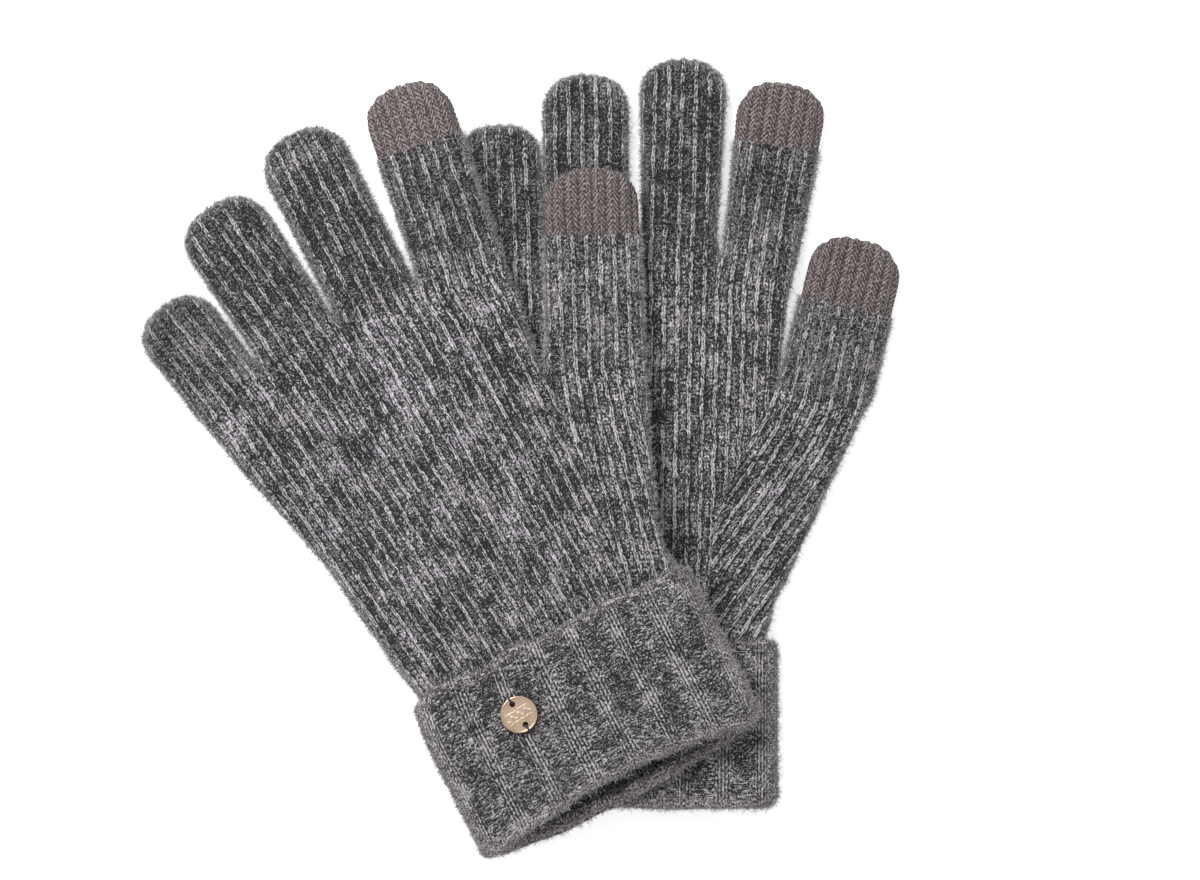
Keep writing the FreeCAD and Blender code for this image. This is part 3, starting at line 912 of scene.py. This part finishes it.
class Nodes:
    """Shader nodes for one material, with short names for the kinds that the knits use."""

    def __init__(self, name):
        self.material = bpy.data.materials.new(name)
        self.material.use_nodes = True
        self.tree = self.material.node_tree
        self.tree.nodes.clear()

    def feed(self, socket, value):
        if isinstance(value, bpy.types.NodeSocket):
            self.tree.links.new(value, socket)
        else:
            socket.default_value = value

    def add(self, kind, inputs, **settings):
        node = self.tree.nodes.new(kind)
        for key, value in settings.items():
            setattr(node, key, value)
        for key, value in inputs.items():
            self.feed(node.inputs[key], value)
        return node

    def math(self, operation, first, second=0.0, third=0.0):
        inputs = {0: first, 1: second, 2: third}
        return self.add("ShaderNodeMath", inputs, operation=operation).outputs[0]

    def times(self, first, second):
        return self.math("MULTIPLY", first, second)

    def over(self, first, second):
        return self.math("DIVIDE", first, second)

    def minus(self, first, second):
        return self.math("SUBTRACT", first, second)

    def apart(self, first, second):
        """Distance between two values."""
        return self.math("ABSOLUTE", self.minus(first, second))

    def clamp(self, value):
        return self.add("ShaderNodeClamp", {"Value": value}).outputs[0]

    def total(self, *terms):
        """Sum of (value, factor) pairs and plain numbers."""
        running = 0.0
        for term in terms:
            value, factor = term if isinstance(term, tuple) else (term, 1.0)
            running = self.math("MULTIPLY_ADD", value, factor, running)
        return running

    def wave(self, phase):
        """0 to 1 wave, with one turn for each unit of phase."""
        cosine = self.math("COSINE", self.times(phase, 2 * math.pi))
        return self.math("MULTIPLY_ADD", cosine, 0.5, 0.5)

    def step(self, value, low, high):
        """0 below low, 1 above high, smooth between."""
        inputs = {"Value": value, "From Min": low, "From Max": high, "To Min": 0.0, "To Max": 1.0}
        ramp = self.add("ShaderNodeMapRange", inputs, interpolation_type="SMOOTHSTEP")
        return ramp.outputs[0]

    def fade(self, value, low, high):
        """1 below low, 0 above high, smooth between."""
        return self.minus(1.0, self.step(value, low, high))

    def place(self, x, y, z=0.0, squeeze=(1.0, 1.0)):
        """Where to read a noise. A higher squeeze makes it finer, across and along."""
        inputs = {0: self.times(x, squeeze[0]), 1: self.times(y, squeeze[1]), 2: z}
        return self.add("ShaderNodeCombineXYZ", inputs).outputs[0]

    def noise(self, vector, scale, detail=2.0, roughness=0.6):
        inputs = {"Vector": vector, "Scale": scale, "Detail": detail, "Roughness": roughness}
        return self.add("ShaderNodeTexNoise", inputs, noise_dimensions="3D").outputs[0]

    def even_noise(self, *settings):
        """Noise from about -0.5 to 0.5."""
        return self.minus(self.noise(*settings), 0.5)

    def object_place(self):
        return self.add("ShaderNodeTexCoord", {}).outputs["Object"]

    def blend(self, share, first, second):
        node = self.add("ShaderNodeMix", {0: share, 6: first, 7: second}, data_type="RGBA")
        return node.outputs[2]

    def finish(self, colour, roughness, bump=None, bump_size=0.0, **extra):
        inputs = {"Base Color": colour, "Roughness": roughness}
        inputs.update({key.replace("_", " ").title(): value for key, value in extra.items()})
        if bump is not None:
            inputs["Normal"] = self.add(
                "ShaderNodeBump", {"Height": bump, "Distance": bump_size * MM, "Strength": 1.0}
            ).outputs[0]
        shader = self.add("ShaderNodeBsdfPrincipled", inputs)
        self.add("ShaderNodeOutputMaterial", {"Surface": shader.outputs[0]})
        return self.material


def stitch_coordinates(nodes):
    """Millimetres across and along the stitches."""
    layer = nodes.add("ShaderNodeUVMap", {}, uv_map="stitches").outputs[0]
    split = nodes.add("ShaderNodeSeparateXYZ", {0: layer})
    return [nodes.times(split.outputs[axis], STITCH_UV_SCALE) for axis in (0, 1)]


def from_middle(nodes, across, pitch):
    """Signed distance from the middle of the wale that a place is in."""
    place = nodes.math("FRACT", nodes.over(across, pitch))
    return nodes.times(nodes.minus(place, 0.5), pitch)


def chevrons(nodes, aside, along, course, slope):
    """Stitch legs that lean from a wale's middle back towards the wrist."""
    travel = nodes.math("MULTIPLY_ADD", aside, slope, along)
    return nodes.wave(nodes.over(travel, course))


def marl(nodes, across, along):
    """Specks, flecks and soft patches of a brushed marl yarn, each about -0.5 to 0.5."""
    specks = nodes.even_noise(nodes.place(across, along, squeeze=(1.4, 0.8)), 1.4, 2.0, 0.5)
    flecks = nodes.even_noise(nodes.place(across, along, 7.0), 0.5)
    patches = nodes.even_noise(nodes.place(across, along, 19.0, (1.0, 0.6)), 0.11)
    return specks, flecks, patches


def marl_colour(nodes, light):
    """Charcoal where light is low to pale grey where it is high, with the pale part kept small."""
    share = nodes.math("POWER", nodes.step(light, -0.05, 1.05), 1.25)
    return nodes.blend(share, CHARCOAL_DARK, CHARCOAL_LIGHT)


# Share of fibre haze and of painted light on shaded edges, from the brushed attribute
def brushed_and_lit_share(nodes):
    return nodes.add("ShaderNodeAttribute", {}, attribute_name="brushed").outputs["Fac"]


def haze_and_painted_light_over(nodes, colour, specks, least, patchy, haze_and_light_colour):
    """Colour under a grey haze of loose fibres where the knit is brushed, thicker in patches. The
    haze is also painted light, which lifts edges and rims that lie in shade.
    """
    haze = nodes.clamp(nodes.total((specks, 4.5), 0.38))
    share = nodes.times(brushed_and_lit_share(nodes), nodes.total((haze, patchy), least))
    return nodes.blend(share, colour, haze_and_light_colour)


def worn_strand(nodes, across, along, aside):
    """The light chain of stitches beside each wale's middle, worn away in places."""
    strand = nodes.fade(nodes.apart(aside, 0.38), 0.06, 0.43)
    worn = nodes.noise(nodes.place(across, along, 31.0, (1.6, 1.0)), 0.2)
    return nodes.times(strand, nodes.step(worn, 0.24, 0.52))


def charcoal_rib_knit():
    nodes = Nodes("charcoal_rib_knit")
    across, along = stitch_coordinates(nodes)
    sway = nodes.even_noise(nodes.place(across, along, 3.0), 0.12)
    jitter = nodes.even_noise(nodes.place(across, along, 5.0), 0.55)
    swayed = nodes.total((sway, 1.6), (jitter, 1.5), across)
    aside = nodes.math("ABSOLUTE", from_middle(nodes, swayed, WALE_PITCH))
    legs = chevrons(nodes, aside, along, COURSE_PITCH, 1.5)
    strand = worn_strand(nodes, across, along, aside)
    chain = nodes.times(strand, nodes.total((legs, 0.6), 0.45))
    # Painted shade: a dark line in the groove between the light chain and the purl
    gap = nodes.fade(nodes.apart(aside, 1.0), 0.1, 0.45)
    purl = nodes.times(nodes.step(aside, 1.0, 1.7), nodes.wave(nodes.over(along, 1.1)))
    specks, flecks, patches = marl(nodes, across, along)
    # The fingers are darker and less mottled than the palm
    on_fingers = nodes.step(along, -12.0, 18.0)
    speckle = nodes.times(specks, nodes.total((on_fingers, -0.9), 3.0))
    streaks = nodes.even_noise(nodes.place(across, along, 43.0, (0.75, 0.2)), 1.0)
    streak = nodes.times(streaks, nodes.total((on_fingers, -1.1), 2.6))
    streak = nodes.times(streak, nodes.total((strand, 0.9), 0.5))
    mottle = nodes.times(flecks, nodes.total((on_fingers, -0.4), 1.0))
    light = nodes.total(chain, speckle, streak, mottle, (patches, 1.5), (purl, 0.16))
    light = nodes.total(light, (gap, -0.2), (on_fingers, -0.13), 0.11)
    colour = marl_colour(nodes, light)
    # Grey haze on the edges: brushed fibres, and painted light where the edges lie in shade
    colour = haze_and_painted_light_over(nodes, colour, specks, 0.03, 0.45, HAZE_AND_EDGE_LIGHT_GREY)
    height = nodes.total((chain, 0.8), (specks, 0.9))
    return nodes.finish(colour, 0.92, height, 0.6, sheen_weight=0.08, sheen_roughness=0.5)


def cuff_strands(nodes, across, along, side, aside):
    """Twisted strands side by side, worn away in places."""
    strand = nodes.wave(nodes.over(side, STRAND_PITCH))
    twist = chevrons(nodes, aside, along, COURSE_PITCH, 1.4)
    strands = nodes.times(strand, nodes.total((twist, 0.5), 0.5))
    worn = nodes.noise(nodes.place(across, along, 57.0, (1.3, 0.4)), 0.5)
    return nodes.times(strands, nodes.total((nodes.step(worn, 0.3, 0.6), 0.6), 0.45))


def charcoal_cuff_knit():
    nodes = Nodes("charcoal_cuff_knit")
    across, along = stitch_coordinates(nodes)
    side = from_middle(nodes, across, CUFF_RIB_PITCH)
    aside = nodes.math("ABSOLUTE", side)
    group = nodes.fade(aside, STRAND_GROUP / 2 - 0.4, STRAND_GROUP / 2 + 0.4)
    group = nodes.times(group, nodes.total((brushed_and_lit_share(nodes), -0.8), 1.0))
    strands = cuff_strands(nodes, across, along, side, aside)
    hairs = nodes.even_noise(nodes.place(across, along, squeeze=(0.35, 1.8)), 1.2, 3.0, 0.65)
    specks, flecks, patches = marl(nodes, across, along)
    in_group = nodes.times(group, nodes.total((strands, 0.95), -0.12))
    in_panel = nodes.times(nodes.minus(1.0, group), nodes.total((hairs, 3.4), 0.02))
    light = nodes.total(in_group, in_panel, (specks, 2.7), (flecks, 1.3), patches, 0.15)
    colour = marl_colour(nodes, light)
    # Warm haze on rims and sides: brushed fibres, and painted light where they lie in shade
    colour = haze_and_painted_light_over(nodes, colour, specks, 0.06, 0.75, CUFF_HAZE_AND_RIM_LIGHT_GREY)
    height = nodes.total((in_group, 0.8), (hairs, 0.9), (specks, 0.5))
    return nodes.finish(colour, 0.92, height, 0.6, sheen_weight=0.08, sheen_roughness=0.5)


def taupe_touch_knit():
    nodes = Nodes("taupe_touch_knit")
    across, along = stitch_coordinates(nodes)
    aside = nodes.math("ABSOLUTE", from_middle(nodes, across, WALE_PITCH))
    legs = chevrons(nodes, aside, along, TOUCH_COURSE_PITCH, 1.3)
    # Painted shade: the valleys between ribs and the crease down each wale's middle are darkened in
    # colour, as well as sunk by the bump
    valley = nodes.step(aside, 1.5, 2.2)
    crease = nodes.fade(aside, 0.1, 0.6)
    specks, flecks, _ = marl(nodes, across, along)
    light = nodes.total((legs, 0.6), (valley, -0.42), (crease, -0.25), (specks, 3.5))
    light = nodes.step(nodes.total(light, (flecks, 0.9), 0.05), -0.1, 1.1)
    colour = nodes.blend(light, TAUPE_DARK, TAUPE_LIGHT)
    height = nodes.total((legs, 0.7), (valley, -0.5), (crease, -0.3), (specks, 0.5))
    return nodes.finish(colour, 0.8, height, 0.5, sheen_weight=0.05, sheen_roughness=0.5)


def fibre_material(name, grey, red, blue):
    return Nodes(name).finish((grey * red, grey, grey * blue, 1.0), 0.75)


def plain_yarn(name, dark, light, scale, detail=3.0, roughness=0.85, bump_size=0.1):
    """Yarn of a dark and a light grey."""
    nodes = Nodes(name)
    grain = nodes.noise(nodes.object_place(), scale, detail)
    colour = nodes.blend(grain, dark + (1.0,), light + (1.0,))
    return nodes.finish(colour, roughness, grain, bump_size)


def charm_axes():
    """The middle of the charm's face, and the direction from one sewing hole to the other."""
    low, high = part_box("charm_disc")
    middle = [(low[axis] + high[axis]) / 2 for axis in (0, 1)] + [high[2]]
    joint = next(j for j in frame["joints"] if j["name"] == "charm_rock")
    return np.array(middle) / MM, math.atan2(joint["axis"][1], joint["axis"][0])


def rose_gold():
    """Polished metal with a band of raised waves between two raised lines. Its colour carries
    painted reflections: light patches, brightest on the raised pattern.
    """
    nodes = Nodes("rose_gold")
    middle, turn = charm_axes()
    place = nodes.object_place()
    offset = nodes.add("ShaderNodeVectorMath", {0: place, 1: tuple(-middle * MM)}, operation="ADD")
    local = nodes.add("ShaderNodeVectorRotate", {"Vector": offset.outputs[0], "Angle": -turn})
    split = nodes.add("ShaderNodeSeparateXYZ", {0: local.outputs[0]})
    between, aside = [nodes.times(split.outputs[axis], 1 / MM) for axis in (0, 1)]
    crest = nodes.total((nodes.wave(nodes.over(aside, 2.6)), 1.3), -0.65)
    wave = nodes.fade(nodes.apart(between, crest), 0.16, 0.36)
    line = nodes.fade(nodes.apart(nodes.math("ABSOLUTE", between), 1.7), 0.06, 0.2)
    inside = nodes.fade(nodes.math("ABSOLUTE", aside), 3.9, 4.3)
    raised = nodes.times(nodes.math("MAXIMUM", wave, line), inside)
    brushed = nodes.noise(place, 2600.0, 3.0, 0.7)
    # Painted reflection: lighter gold in patches and on the raised pattern
    glow = nodes.total((nodes.noise(place, 190.0, 1.0), 1.3), (raised, 0.6), -0.3)
    colour = nodes.blend(nodes.clamp(glow), GOLD_DARK, GOLD_LIGHT)
    shine = nodes.total((brushed, 0.16), 0.16)
    height = nodes.total((raised, 1.0), (brushed, 0.12))
    return nodes.finish(colour, shine, height, 0.12, metallic=1.0)


def make_looks():
    return {
        "knit_charcoal": charcoal_rib_knit(),
        "knit_cuff": charcoal_cuff_knit(),
        "knit_touch": taupe_touch_knit(),
        "charm_metal": rose_gold(),
        "thread": plain_yarn("sewing_thread_ply", (0.008, 0.008, 0.01), (0.05, 0.05, 0.055),
                             2200.0, 2.0, 0.7, 0.05),
        "elastic": plain_yarn("elastic_yarn", (0.05, 0.05, 0.055), (0.4, 0.4, 0.4), 900.0),
        "yarn_end": plain_yarn("yarn_end_marl", (0.02, 0.02, 0.024), (0.3, 0.3, 0.32), 700.0),
        "fibres": [fibre_material(*fibre) for fibre in FIBRES],
        "touch_fibres": [fibre_material(*fibre) for fibre in TOUCH_FIBRES],
    }


def give_material(piece, material):
    piece.data.materials.clear()
    piece.data.materials.append(material)


def make_charm_rim(material):
    """Rolled rim round the charm's face."""
    middle, _ = charm_axes()
    low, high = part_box("charm_disc")
    radius = (high[0] - low[0]) / 2 / MM - RIM_RADIUS
    around = np.linspace(0, 2 * math.pi, RIM_STEPS)
    section = np.linspace(0, 2 * math.pi, RIM_SECTION_STEPS)
    reach = radius + RIM_RADIUS * np.cos(section)[:, None]
    cloud = np.stack([
        middle[0] + reach * np.cos(around)[None],
        middle[1] + reach * np.sin(around)[None],
        middle[2] + RIM_RADIUS * np.sin(section)[:, None] + 0 * around[None],
    ], axis=-1)
    quads = grid_quads(len(section), len(around), 0, True)
    inverse, points = weld(cloud.reshape(-1, 3))
    rim = mesh_object("charm_rim", points, inverse[quads], np.zeros((len(quads), 4, 2)))
    give_material(rim, material)
    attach(rim, "charm")


def stitch_line(end):
    """Middle line of a stitch from a sewing hole, over the charm's rim and into the cuff."""
    middle, turn = charm_axes()
    low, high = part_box("charm_thread")
    root_level = low[2] / MM - 1.0
    climb = np.linspace(0, math.pi, PLY_STEPS)
    reach = STITCH_START + (STITCH_END - STITCH_START) * (1 - np.cos(climb)) / 2
    rise = root_level + (high[2] / MM - THREAD_PLY - root_level) * np.sin(climb) ** 0.5
    return np.stack([
        middle[0] + end * reach * math.cos(turn),
        middle[1] + end * reach * math.sin(turn),
        rise,
    ], axis=-1)


def twisted_plies(line):
    """Grids of points round the two plies of a thread that follows a line."""
    _, turn = charm_axes()
    run = np.gradient(line, axis=0)
    run /= np.linalg.norm(run, axis=1, keepdims=True)
    sideways = np.array([-math.sin(turn), math.cos(turn), 0.0])
    upward = np.cross(run, sideways)
    grids = []
    for ply in (0, math.pi):
        twist = ply + np.linspace(0, STITCH_TURNS * 2 * math.pi, len(line))[:, None]
        core = line + 0.8 * THREAD_PLY * (np.cos(twist) * sideways + np.sin(twist) * upward)
        rings = []
        for angle in np.linspace(0, 2 * math.pi, PLY_SECTION_STEPS):
            outward = math.cos(angle) * sideways + math.sin(angle) * upward
            rings.append(core + THREAD_PLY * outward)
        grids.append(np.stack(rings, axis=0))
    return grids


def make_charm_stitches(material):
    """Two-ply stitches over the charm's rim, each from a sewing hole into the cuff."""
    grids = twisted_plies(stitch_line(-1)) + twisted_plies(stitch_line(1))
    rings, steps = grids[0].shape[:2]
    quads = [grid_quads(rings, steps, index * rings * steps, False) for index in range(len(grids))]
    inverse, points = weld(np.vstack([grid.reshape(-1, 3) for grid in grids]))
    quads = inverse[np.vstack(quads)]
    thread = mesh_object("charm_stitches", points, quads, np.zeros((len(quads), 4, 2)))
    give_material(thread, material)
    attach(thread, "left_cuff")
    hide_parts("charm_thread")


def fibre_roots(rng, surface, count):
    """Places for fibres on a surface, more on its edges: root, normal and whether on an edge."""
    points, quads, normals = surface
    corners = points[quads]
    area = np.linalg.norm(diagonal_cross(corners), axis=1)
    facing = unit_rows(normals[quads].mean(axis=1))
    on_edge = np.abs(facing[:, 2]) < EDGE_FACING
    wanted = area * np.where(on_edge, EDGE_FUZZ, np.where(facing[:, 2] < 0, UNDER_FUZZ, 1.0))
    pick = rng.choice(len(quads), size=count, p=wanted / wanted.sum())
    share = rng.random((count, 2, 1))
    low = corners[pick, 0] * (1 - share[:, 0]) + corners[pick, 1] * share[:, 0]
    high = corners[pick, 3] * (1 - share[:, 0]) + corners[pick, 2] * share[:, 0]
    root = low * (1 - share[:, 1]) + high * share[:, 1]
    return root, facing[pick], on_edge[pick, None]


def grow_fibres(rng, root, normal, on_edge, longest):
    """Each fibre's middle and end, and how far it stands up, from 0 to 1."""
    count = len(root)
    heading = rng.normal(size=(count, 3))
    heading -= (heading * normal).sum(axis=1, keepdims=True) * normal
    heading = unit_rows(heading)
    spare = 1 - SHORTEST_SHARE
    length = longest * (SHORTEST_SHARE + spare * rng.random((count, 1)) ** 3)
    stand = rng.random((count, 1))
    stand = np.where(on_edge, 0.16 + 0.6 * stand, 0.12 + 0.75 * stand ** 2)
    middle = root + length * 0.5 * (heading * (1 - stand) + normal * stand * 1.1)
    curl = rng.normal(size=(count, 3)) * 0.25
    lean = heading * (1.1 - 0.5 * stand) + normal * (stand - 0.15) + curl
    return middle, middle + length * 0.5 * lean, stand[:, 0]


def fibre_cloud(rng, root, middle, end):
    """Seven points for each fibre: a triangle at its root, one at its middle, and its end."""
    run = end - root
    first = unit_rows(np.cross(run, rng.normal(size=run.shape)))
    second = unit_rows(np.cross(run, first))
    rings = []
    for centre, radius in ((root, FIBRE_RADIUS), (middle, FIBRE_RADIUS * 0.85)):
        for turn in FIBRE_CORNERS:
            rings.append(centre + radius * (first * math.cos(turn) + second * math.sin(turn)))
    cloud = np.stack(rings + [end], axis=1)
    cloud[..., 2] = np.maximum(cloud[..., 2], LOWEST)
    return cloud.reshape(-1, 3)


def add_fuzz(name, source, kind, materials, seed):
    """Loose fibres over a knitted surface: closed tapering hairs that lie down or stick out."""
    count, longest = FUZZ[kind]
    rng = np.random.default_rng(seed)
    root, normal, on_edge = fibre_roots(rng, SURFACES[source], count)
    middle, end, stand = grow_fibres(rng, root, normal, on_edge, longest)
    cloud = fibre_cloud(rng, root - normal * FIBRE_ROOT_DEPTH, middle, end)
    hair = [(0, 1, 4, 3), (1, 2, 5, 4), (2, 0, 3, 5), (3, 4, 6), (4, 5, 6), (5, 3, 6), (2, 1, 0)]
    faces = []
    for start in range(0, len(cloud), 7):
        faces.extend([tuple(start + corner for corner in face) for face in hair])
    fuzz = link_mesh(name, cloud, faces)
    tone = rng.choice(len(materials), size=count, p=FIBRE_SHARES)
    # Standing fibres are all made light, as painted light for the halo round the edges
    tone[stand > LIGHT_ABOVE] = 0
    for material in materials:
        fuzz.data.materials.append(material)
    fuzz.data.polygons.foreach_set("material_index", np.repeat(tone, len(hair)))
    return fuzz


def move_with(piece, side, part):
    """Attaches a piece to its glove when its part has no body of its own; otherwise only bakes its
    transform.
    """
    glove = side + "_glove"
    body = side + "_" + part
    if body not in frame["bodies"]:
        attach(piece, glove)
        return
    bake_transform(piece)


def dress_glove(side, looks):
    """Builds one glove's pieces with their finishes, fibres and movement."""
    glove = Glove(side)
    for order, (node, piece) in enumerate(build_glove_pieces(glove).items()):
        part = node[len(side) + 1:]
        touch = part in FINGER_OF_TIP
        finger_name = FINGER_OF_TIP.get(part, part)
        slot = "knit_touch" if touch else "knit_charcoal"
        give_material(piece, looks[slot])
        kind = "touch" if touch else ("hand" if part == "hand" else "finger")
        fibres = looks["touch_fibres"] if touch else looks["fibres"]
        fuzz = add_fuzz(node + "_fuzz", piece.name, kind, fibres, FUZZ_SEED + order)
        for shown in (piece, fuzz):
            if part == "hand":
                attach(shown, side + "_glove")
            elif touch:
                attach(shown, side + "_" + finger_name)
            else:
                move_with(shown, side, part)
        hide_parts(node)
    dress_wrist(glove.cuff, side, looks)


def dress_wrist(cuff, side, looks):
    turn_up = make_turn_up(cuff, side)
    tube = make_wrist_tube(cuff, side)
    give_material(turn_up, looks["knit_cuff"])
    give_material(tube, looks["knit_charcoal"])
    fibres = looks["fibres"]
    fuzz = add_fuzz(side + "_cuff_fuzz", turn_up.name, "cuff", fibres, CUFF_FUZZ_SEED)
    for shown in (turn_up, fuzz):
        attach(shown, side + "_cuff")
    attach(tube, side + "_glove")
    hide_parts(side + "_turn_up_cuff")
    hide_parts(side + "_wrist_rib")


def finish_small_parts(looks):
    """Finishes for the CAD nodes that stay as they are."""
    endings = {"charm_disc": "charm_metal", "wrist_elastic": "elastic", "yarn_knot": "yarn_end"}
    for name, node in frame["nodes"].items():
        for ending, look in endings.items():
            if name.endswith(ending):
                for index in range(len(node.data.materials)):
                    node.data.materials[index] = looks[look]


def make_camera():
    camera = bpy.data.cameras.new("camera")
    camera.lens = camera.sensor_width * VIEW_HEIGHT / VIEW_WIDTH
    holder = link_object("camera", camera)
    holder.location = VIEW_CENTRE + (VIEW_HEIGHT + VIEW_LEVEL,)
    bpy.context.scene.camera = holder


def make_key_light():
    """Square soft light that faces the origin."""
    light = bpy.data.lights.new("key", "AREA")
    light.size = KEY_SIZE
    light.energy = KEY_POWER
    holder = link_object("key", light)
    holder.location = KEY_PLACE
    x, y, z = KEY_PLACE
    holder.rotation_euler = (math.atan2(math.hypot(x, y), z), 0.0, math.atan2(y, x) + math.pi / 2)


def make_floor():
    """Pale floor that glows a little, so that it looks white from above."""
    mesh = bpy.data.meshes.new("floor")
    corners = [(-1, -1), (1, -1), (1, 1), (-1, 1)]
    mesh.from_pydata([(FLOOR_REACH * x, FLOOR_REACH * y, 0) for x, y in corners], [], [(0, 1, 2, 3)])
    floor = link_object("floor", mesh)
    nodes = Nodes("paper")
    glow = {"Color": (1.0, 1.0, 1.0, 1.0), "Strength": SKY_STRENGTH}
    glow = nodes.add("ShaderNodeEmission", glow)
    paper = nodes.add("ShaderNodeBsdfDiffuse", {"Color": (0.85, 0.85, 0.85, 1.0)})
    both = nodes.add("ShaderNodeAddShader", {0: glow.outputs[0], 1: paper.outputs[0]})
    nodes.add("ShaderNodeOutputMaterial", {"Surface": both.outputs[0]})
    floor.data.materials.append(nodes.material)


def make_studio():
    world = bpy.data.worlds.new("studio")
    world.use_nodes = True
    background = world.node_tree.nodes["Background"]
    background.inputs["Color"].default_value = (1.0, 1.0, 1.0, 1.0)
    background.inputs["Strength"].default_value = SKY_STRENGTH
    bpy.context.scene.world = world
    bpy.context.scene.view_settings.view_transform = "Standard"
    make_key_light()
    make_floor()


make_camera()
make_studio()
looks = make_looks()
for glove_side in ("right", "left"):
    dress_glove(glove_side, looks)
make_charm_rim(looks["charm_metal"])
make_charm_stitches(looks["thread"])
finish_small_parts(looks)
